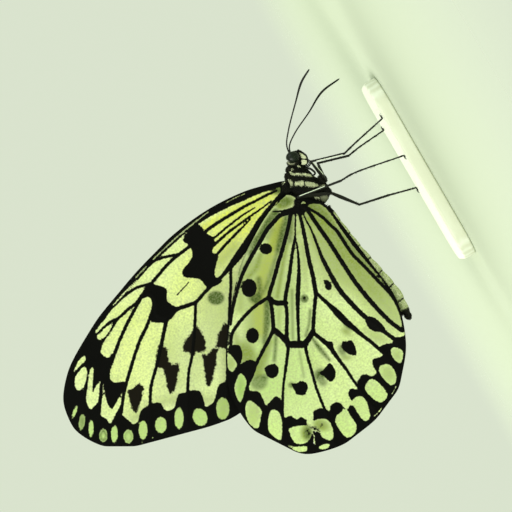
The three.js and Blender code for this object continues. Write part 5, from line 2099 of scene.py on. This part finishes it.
@dataclass
class Legs:
    """Four walking legs that stand on the base, and two brush legs folded at the breast."""

    plans: dict[str, LegPlan] = field(
        default_factory=lambda: {
            "mid_right": LegPlan(((5.75, 2.05), (2.25, 6.1), (9.5, 7.8), (11.9, 10.1), (17.1, 15.0)),
                                 (1.1, 7.0, 8.6, 9.3, 10.6), (0.6, 0.8),
                                 Stripe((0.8, 0.6), 0.35, 0.3, 0.96), Stripe((0.2, -1.0), 0.6, 0.16, 0.96)),
            "mid_left": LegPlan(((5.4, 2.2), (4.0, 6.1), (10.9, 7.8), (13.1, 9.6), (18.2, 13.2)),
                                (1.1, 7.0, 8.6, 9.3, 10.6), (0.5, 0.85)),
            "hind_right": LegPlan(((6.8, -0.6), (-0.5, -1.65), (8.8, 1.9), (11.3, 3.4), (21.8, 7.0)),
                                  (1.1, 6.5, 8.5, 9.2, 11.6), (-0.5, 0.85),
                                  Stripe(end=0.0), Stripe((-0.4, 0.9), 1.1, 0.02, 0.62)),
            "hind_left": LegPlan(((6.8, -0.6), (13.2, -3.1), (20.0, -0.9), (22.2, -0.3), (25.6, 0.5)),
                                 (1.1, 6.4, 10.2, 11.3, 12.6), (-0.8, 0.6)),
        }
    )
    femur_radii: tuple[float, ...] = (0.34, 0.44, 0.36, 0.25)
    tibia_radii: tuple[float, ...] = (0.25, 0.24, 0.25, 0.27)
    foot_radii: tuple[float, ...] = (0.23, 0.2, 0.17)
    foot_joints: int = 5
    knee_radii: Pair = (0.29, 0.26)
    ankle_height: float = 0.2  # above the base
    toe_length: float = 1.5
    toe_spread: float = 0.22
    spine: float = 0.3
    spine_half: float = 0.035
    # first joint, number and distance from the middle of the spines on each stretch
    spine_rows: tuple[tuple[int, int, float], ...] = (
        (1, 70, 0.23), (2, 26, 0.19), (3, 60, 0.17), (0, 60, 0.34),
    )
    stripe_reach: float = 0.56  # the stripes keep to the shanks within this of their middle
    fore_route: Pairs = ((-0.2, 4.3), (1.1, 4.75), (2.2, 4.7), (3.3, 3.75), (3.1, 3.4), (2.3, 3.15))
    fore_out: tuple[float, ...] = (0.6, 0.95, 1.15, 1.3, 1.3, 1.2)
    fore_radii: tuple[float, ...] = (0.22, 0.25, 0.23, 0.2, 0.2, 0.1)

    def build(self, finish: Chitin) -> None:
        """Build and dress the six legs.

        Args:
            finish: the finish of the cuticle.
        """
        material = finish.make()
        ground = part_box("stand_base")[1].z / MM
        for name, plan in self.plans.items():
            self.walking_leg(name, plan, ground, material)
        for side in Side:
            self.brush_leg(side, material)

    def walking_leg(self, name: str, plan: LegPlan, ground: float, material: Material) -> None:
        """Build one walking leg from hip to claws.

        Args:
            name: the pair and side, as in the frame's nodes.
            plan: the leg's joints.
            ground: height of the base's top.
            material: the finish.
        """
        sign = Side[name.split("_")[1].upper()].value
        joints = [DRAFT.point(p, q, sign * out) for (p, q), out in zip(plan.joints, plan.out)]
        ankle = joints[-1]
        ankle.z = (ground + self.ankle_height) * MM
        pieces = [
            self.shank("femur", joints[0], joints[1], self.femur_radii),
            self.shank("tibia", joints[1], joints[2], self.tibia_radii),
            self.foot("tarsus", joints[2:]),
            *(self.knee(joint, radius) for joint, radius in zip(joints[1:], self.knee_radii)),
        ]
        toe = Vector((plan.toe[0], sign * plan.toe[1], 0.0)).normalized() * self.toe_length * MM
        pieces += self.claws(ankle, toe, ground)
        rng = np.random.default_rng(sum(name.encode()))
        pieces.append(self.spines(joints, rng))
        whole = join_pieces(f"leg_{name}_jointed", pieces)
        places = vertex_places(whole)
        low = places[:, 2] < ground * MM
        places[low, 2] = ground * MM
        whole.data.vertices.foreach_set("co", places.ravel())
        set_attribute(whole, "stripe", self.stripe(places, joints, sign, (plan.femur, plan.tibia)))
        smooth_shading(whole, 60.0)
        settle(whole, "chitin", material, f"leg_{name}")

    def shank(self, name: str, start: Vector, end: Vector, radii: tuple[float, ...]) -> Piece:
        """Loft a straight shank with a belly between two joints.

        Args:
            name: the shank's name.
            start: its upper joint, in metres.
            end: its lower joint.
            radii: its radii at even steps, in millimetres.

        Returns:
            The shank's object.
        """
        knots = [(*start.lerp(end, k / (len(radii) - 1)), r * MM) for k, r in enumerate(radii)]
        run = smooth_run(knots, (end - start).length / 14)
        return loft(name, tube_rings(run[:, :3], run[:, 3], 16))

    def foot(self, name: str, joints: Sequence[Vector]) -> Piece:
        """Loft the tarsus: short joints, each a little wider at its far end.

        Args:
            name: the foot's name.
            joints: points of its middle line, in metres.

        Returns:
            The foot's object.
        """
        knots = [(*joint, r * MM) for joint, r in zip(joints, self.foot_radii)]
        run = smooth_run(knots, 0.12 * MM)
        far = np.linspace(0.0, 1.0, len(run))
        step = (far * self.foot_joints) % 1.0
        size = run[:, 3] * (0.9 + 0.22 * ease(step, 0.3, 0.9) - 0.2 * ease(step, 0.93, 1.0))
        return loft(name, tube_rings(run[:, :3], size, 10))

    def knee(self, joint: Vector, radius: float) -> Piece:
        """Add a rounded joint.

        Args:
            joint: its place in metres.
            radius: its radius in millimetres.

        Returns:
            The ball's object.
        """
        clear_selection()
        bpy.ops.mesh.primitive_uv_sphere_add(segments=14, ring_count=9, radius=radius * MM, location=joint)
        knee = bpy.context.object
        bpy.ops.object.transform_apply(location=True, rotation=True, scale=True)
        return knee

    def claws(self, ankle: Vector, toe: Vector, ground: float) -> list[Piece]:
        """Loft the last joint as two hooked claws laid on the base.

        Args:
            ankle: where they start, in metres.
            toe: the way and length of the last joint.
            ground: height of the base's top, in millimetres.

        Returns:
            The two claws.
        """
        made = []
        aside = Vector((-toe.y, toe.x, 0.0)) * self.toe_spread
        for sign in (-1, 1):
            tip = ankle + toe + aside * sign
            knots = [
                (*ankle, 0.17 * MM),
                (*ankle.lerp(tip, 0.4), 0.16 * MM),
                (*(ankle.lerp(tip, 0.75) + Vector((0, 0, 0.12 * MM))), 0.1 * MM),
                (tip.x, tip.y, (ground + 0.04) * MM, 0.035 * MM),
            ]
            run = smooth_run(knots, 0.14 * MM)
            made.append(loft("claw", tube_rings(run[:, :3], run[:, 3], 8)))
        return made

    def spines(self, joints: Sequence[Vector], rng: np.random.Generator) -> Piece:
        """Set short spines along a leg, leaning towards the claws.

        Args:
            joints: the leg's joints.
            rng: the source of the draws.

        Returns:
            The spines as one object.
        """
        corners = []
        for first, count, radius in self.spine_rows:
            start, end = joints[first : first + 2]
            way = (end - start).normalized()
            across = way.cross(Vector((0.3, 0.8, 0.5))).normalized()
            up = way.cross(across)
            for _ in range(count):
                turn = rng.random() * math.tau
                out = math.cos(turn) * across + math.sin(turn) * up
                root = start.lerp(end, 0.04 + 0.92 * rng.random()) + out * radius * MM
                tip = root + (0.8 * way + 0.6 * out) * self.spine * (0.6 + 0.6 * rng.random()) * MM
                half = way.cross(out) * self.spine_half * MM
                corners += [root + half, root - half, root + way * 0.07 * MM - out * 0.04 * MM, tip]
        return spikes("spines", np.array(corners))

    def stripe(self, places: Array, joints: Sequence[Vector], sign: int,
               stripes: tuple[Stripe, Stripe]) -> Array:
        """Lay a narrow pale line of scales along the femur and the tibia.

        Args:
            places: points of the leg, in metres.
            joints: the leg's joints.
            sign: the side of the insect.
            stripes: where the lines run on the two shanks.

        Returns:
            How pale each point is, from 0 to 1.
        """
        best = np.zeros(len(places))
        for start, end, stripe in zip(joints[:2], joints[1:3], stripes):
            a, b = np.array(start), np.array(end)
            way = unit(b - a)
            off = places - a
            along = off @ way / np.linalg.norm(b - a)
            off -= (off @ way)[:, None] * way
            far = np.linalg.norm(off, axis=1)
            out = DRAFT.way(*stripe.faces, sign * stripe.outwards)
            out = unit(out - way * (out @ way))
            facing = (off @ out) / np.maximum(far, 1e-9)
            near = (far < self.stripe_reach * MM) & (along > stripe.start) & (along < stripe.end)
            best = np.maximum(best, near * ease(facing, 0.78, 0.97))
        return best

    def brush_leg(self, side: Side, material: Material) -> None:
        """Build one short fore leg, folded up against the breast.

        Args:
            side: the insect's side.
            material: the finish.
        """
        name = side.name.lower()
        y = side.value * np.array(self.fore_out)
        points = np.column_stack((np.array(self.fore_route), y))
        leg = limb(f"leg_fore_{name}_folded", points, self.fore_radii, 0.15, 10)
        set_attribute(leg, "stripe", np.zeros(len(leg.data.vertices)))
        smooth_shading(leg, 60.0)
        settle(leg, "chitin", material, f"leg_fore_{name}")


# ----------------------------------------------------------------------- base


@dataclass
class Base:
    """The small wooden plate, with rounded corners and softened edges."""

    length: float = 44.0
    width: float = 32.0
    thick: float = 3.0
    corner: float = 7.0
    edge: float = 0.5
    level: float = 1e-6  # metres, within which two points stand at one height

    def build(self, finish: LimedWood) -> None:
        """Build and dress the plate.

        Args:
            finish: the finish of the wood.
        """
        clear_selection()
        bpy.ops.mesh.primitive_cube_add(
            size=MM, location=(0, 0, self.thick * MM / 2), scale=(self.length, self.width, self.thick)
        )
        plate = bpy.context.object
        plate.name = plate.data.name = "base_plate"
        bpy.ops.object.transform_apply(location=True, rotation=True, scale=True)
        self.bevel_edges(plate, lambda a, b: abs(a.z - b.z) > self.level, self.corner, 14)
        self.bevel_edges(plate, lambda a, b: abs(a.z - b.z) < self.level, self.edge, 4)
        smooth_shading(plate, 35.0)
        settle(plate, "base_wood", finish.make(), "stand_base")

    def bevel_edges(self, plate: Piece, chosen: Callable[[Vector, Vector], bool],
                    width: float, segments: int) -> None:
        """Round the edges that a test picks.

        Args:
            plate: the object.
            chosen: the test of an edge's two ends.
            width: how far from the edge the rounding starts.
            segments: faces across the rounding.
        """
        pick(plate)
        bpy.ops.object.mode_set(mode="EDIT")
        bpy.ops.mesh.select_mode(type="EDGE")
        bpy.ops.mesh.select_all(action="DESELECT")
        mesh = bmesh.from_edit_mesh(plate.data)
        for edge in mesh.edges:
            edge.select_set(chosen(edge.verts[0].co, edge.verts[1].co))
        bmesh.update_edit_mesh(plate.data)
        bpy.ops.mesh.bevel(offset=width * MM, segments=segments, affect="EDGES")
        bpy.ops.object.mode_set(mode="OBJECT")


# --------------------------------------------------------------------- studio


@dataclass(frozen=True)
class Lamp:
    """A soft square lamp: its place and side in metres, its power in watts and its colour."""

    place: tuple[float, float, float]
    size: float
    power: float
    colour: str


@dataclass
class Studio:
    """A pale floor that fades into pale air, soft lamps and the camera."""

    air: str = "#EAF4DD"
    air_strength: float = 0.85
    floor_colour: str = "#BFC7B4"
    floor_radius: float = 0.5  # metres, like the distances at which the floor fades
    fade_from: float = 0.06
    fade_to: float = 0.46
    lamps: dict[str, Lamp] = field(
        default_factory=lambda: {
            "key": Lamp((-0.28, -0.62, 0.5), 0.45, 4.6, "#FFFDF4"),
            "fill": Lamp((0.55, -0.45, 0.3), 0.5, 1.4, "#F4FFF6"),
            "back": Lamp((-0.25, 0.6, 0.45), 0.5, 4.4, "#FBFFEE"),
        }
    )
    view_centre: Vector = field(default_factory=lambda: Vector((1.3, 0.0, 41.85)) * MM)
    view_width: float = 112.64  # millimetres that the picture spans at the insect
    view_distance: float = 800.0
    sensor: float = 36.0
    clip: Pair = (0.05, 10.0)  # metres

    def build(self) -> None:
        """Build the floor, the air, the lamps and the camera."""
        self.build_floor()
        self.build_air()
        for name, lamp in self.lamps.items():
            self.build_lamp(name, lamp)
        self.build_camera()

    def build_floor(self) -> None:
        """Lay a wide disc whose colour thins out into the air."""
        clear_selection()
        bpy.ops.mesh.primitive_circle_add(vertices=96, radius=self.floor_radius, fill_type="NGON")
        floor = bpy.context.object
        floor.name = "studio_floor"
        material, tree = new_tree("pale_paper_floor")
        place = add_node(tree, "ShaderNodeTexCoord").outputs["Object"]
        away = add_node(tree, "ShaderNodeVectorMath", {0: place}, operation="LENGTH").outputs["Value"]
        fade = share_of(tree, away, self.fade_from, self.fade_to)
        inputs = {"Base Color": linear(self.floor_colour), "Roughness": 0.9, "Specular IOR Level": 0.1}
        paper = add_node(tree, "ShaderNodeBsdfPrincipled", inputs).outputs["BSDF"]
        clear = add_node(tree, "ShaderNodeBsdfTransparent").outputs["BSDF"]
        both = add_node(tree, "ShaderNodeMixShader", {0: fade, 1: paper, 2: clear}).outputs[0]
        add_node(tree, "ShaderNodeOutputMaterial", {"Surface": both})
        floor.data.materials.append(material)

    def build_air(self) -> None:
        """Light the scene evenly and palely from all round."""
        world = bpy.data.worlds.new("pale_air")
        world.use_nodes = True
        world.node_tree.nodes.clear()
        inputs = {"Color": linear(self.air), "Strength": self.air_strength}
        glow = add_node(world.node_tree, "ShaderNodeBackground", inputs).outputs["Background"]
        add_node(world.node_tree, "ShaderNodeOutputWorld", {"Surface": glow})
        bpy.context.scene.world = world
        bpy.context.scene.view_settings.view_transform = "Standard"

    def build_lamp(self, name: str, plan: Lamp) -> None:
        """Add a lamp aimed at the insect.

        Args:
            name: the lamp's name.
            plan: its place, size, power and colour.
        """
        light = bpy.data.lights.new(name, "AREA")
        light.size = plan.size
        light.energy = plan.power
        light.color = linear(plan.colour)[:3]
        lamp = bpy.data.objects.new(name, light)
        lamp.location = plan.place
        lamp.rotation_euler = (self.view_centre - Vector(plan.place)).to_track_quat("-Z", "Y").to_euler()
        bpy.context.scene.collection.objects.link(lamp)

    def build_camera(self) -> None:
        """Stand the camera square to the insect's right side, turned with the drafting."""
        data = bpy.data.cameras.new("camera")
        data.sensor_width = self.sensor
        data.lens = self.sensor * self.view_distance / self.view_width
        data.clip_start, data.clip_end = self.clip
        camera = bpy.data.objects.new("camera", data)
        right, up, back = DRAFT.way(1, 0), DRAFT.way(0, 1), (0.0, -1.0, 0.0)
        place = self.view_centre + Vector(back) * self.view_distance * MM
        camera.matrix_world = Matrix(
            [[right[k], up[k], back[k], place[k]] for k in range(3)] + [[0.0, 0.0, 0.0, 1.0]]
        )
        bpy.context.scene.collection.objects.link(camera)
        bpy.context.scene.camera = camera


def main() -> None:
    """Build the pieces in order."""
    logging.basicConfig(level=logging.INFO, format="%(name)s: %(message)s")
    thorax_coat = Coat("thorax_fur")
    abdomen_coat = Coat("abdomen_scales", light="#B6C38A", dark="#191A12", tip="#2B2C20")
    cuticle = Chitin()
    Wings().build(WingScales())
    body = Body()
    skin = body.build(Coat("body_cuticle", roughness=0.6))
    Fur().build(body, skin, thorax_coat, abdomen_coat)
    Head().build(CompoundEye(), cuticle, Coat("palp_bristles", light="#CCD0B0"))
    Feelers().build(cuticle)
    Legs().build(cuticle)
    Base().build(LimedWood())
    Studio().build()


if __name__ == "__main__":
    main()
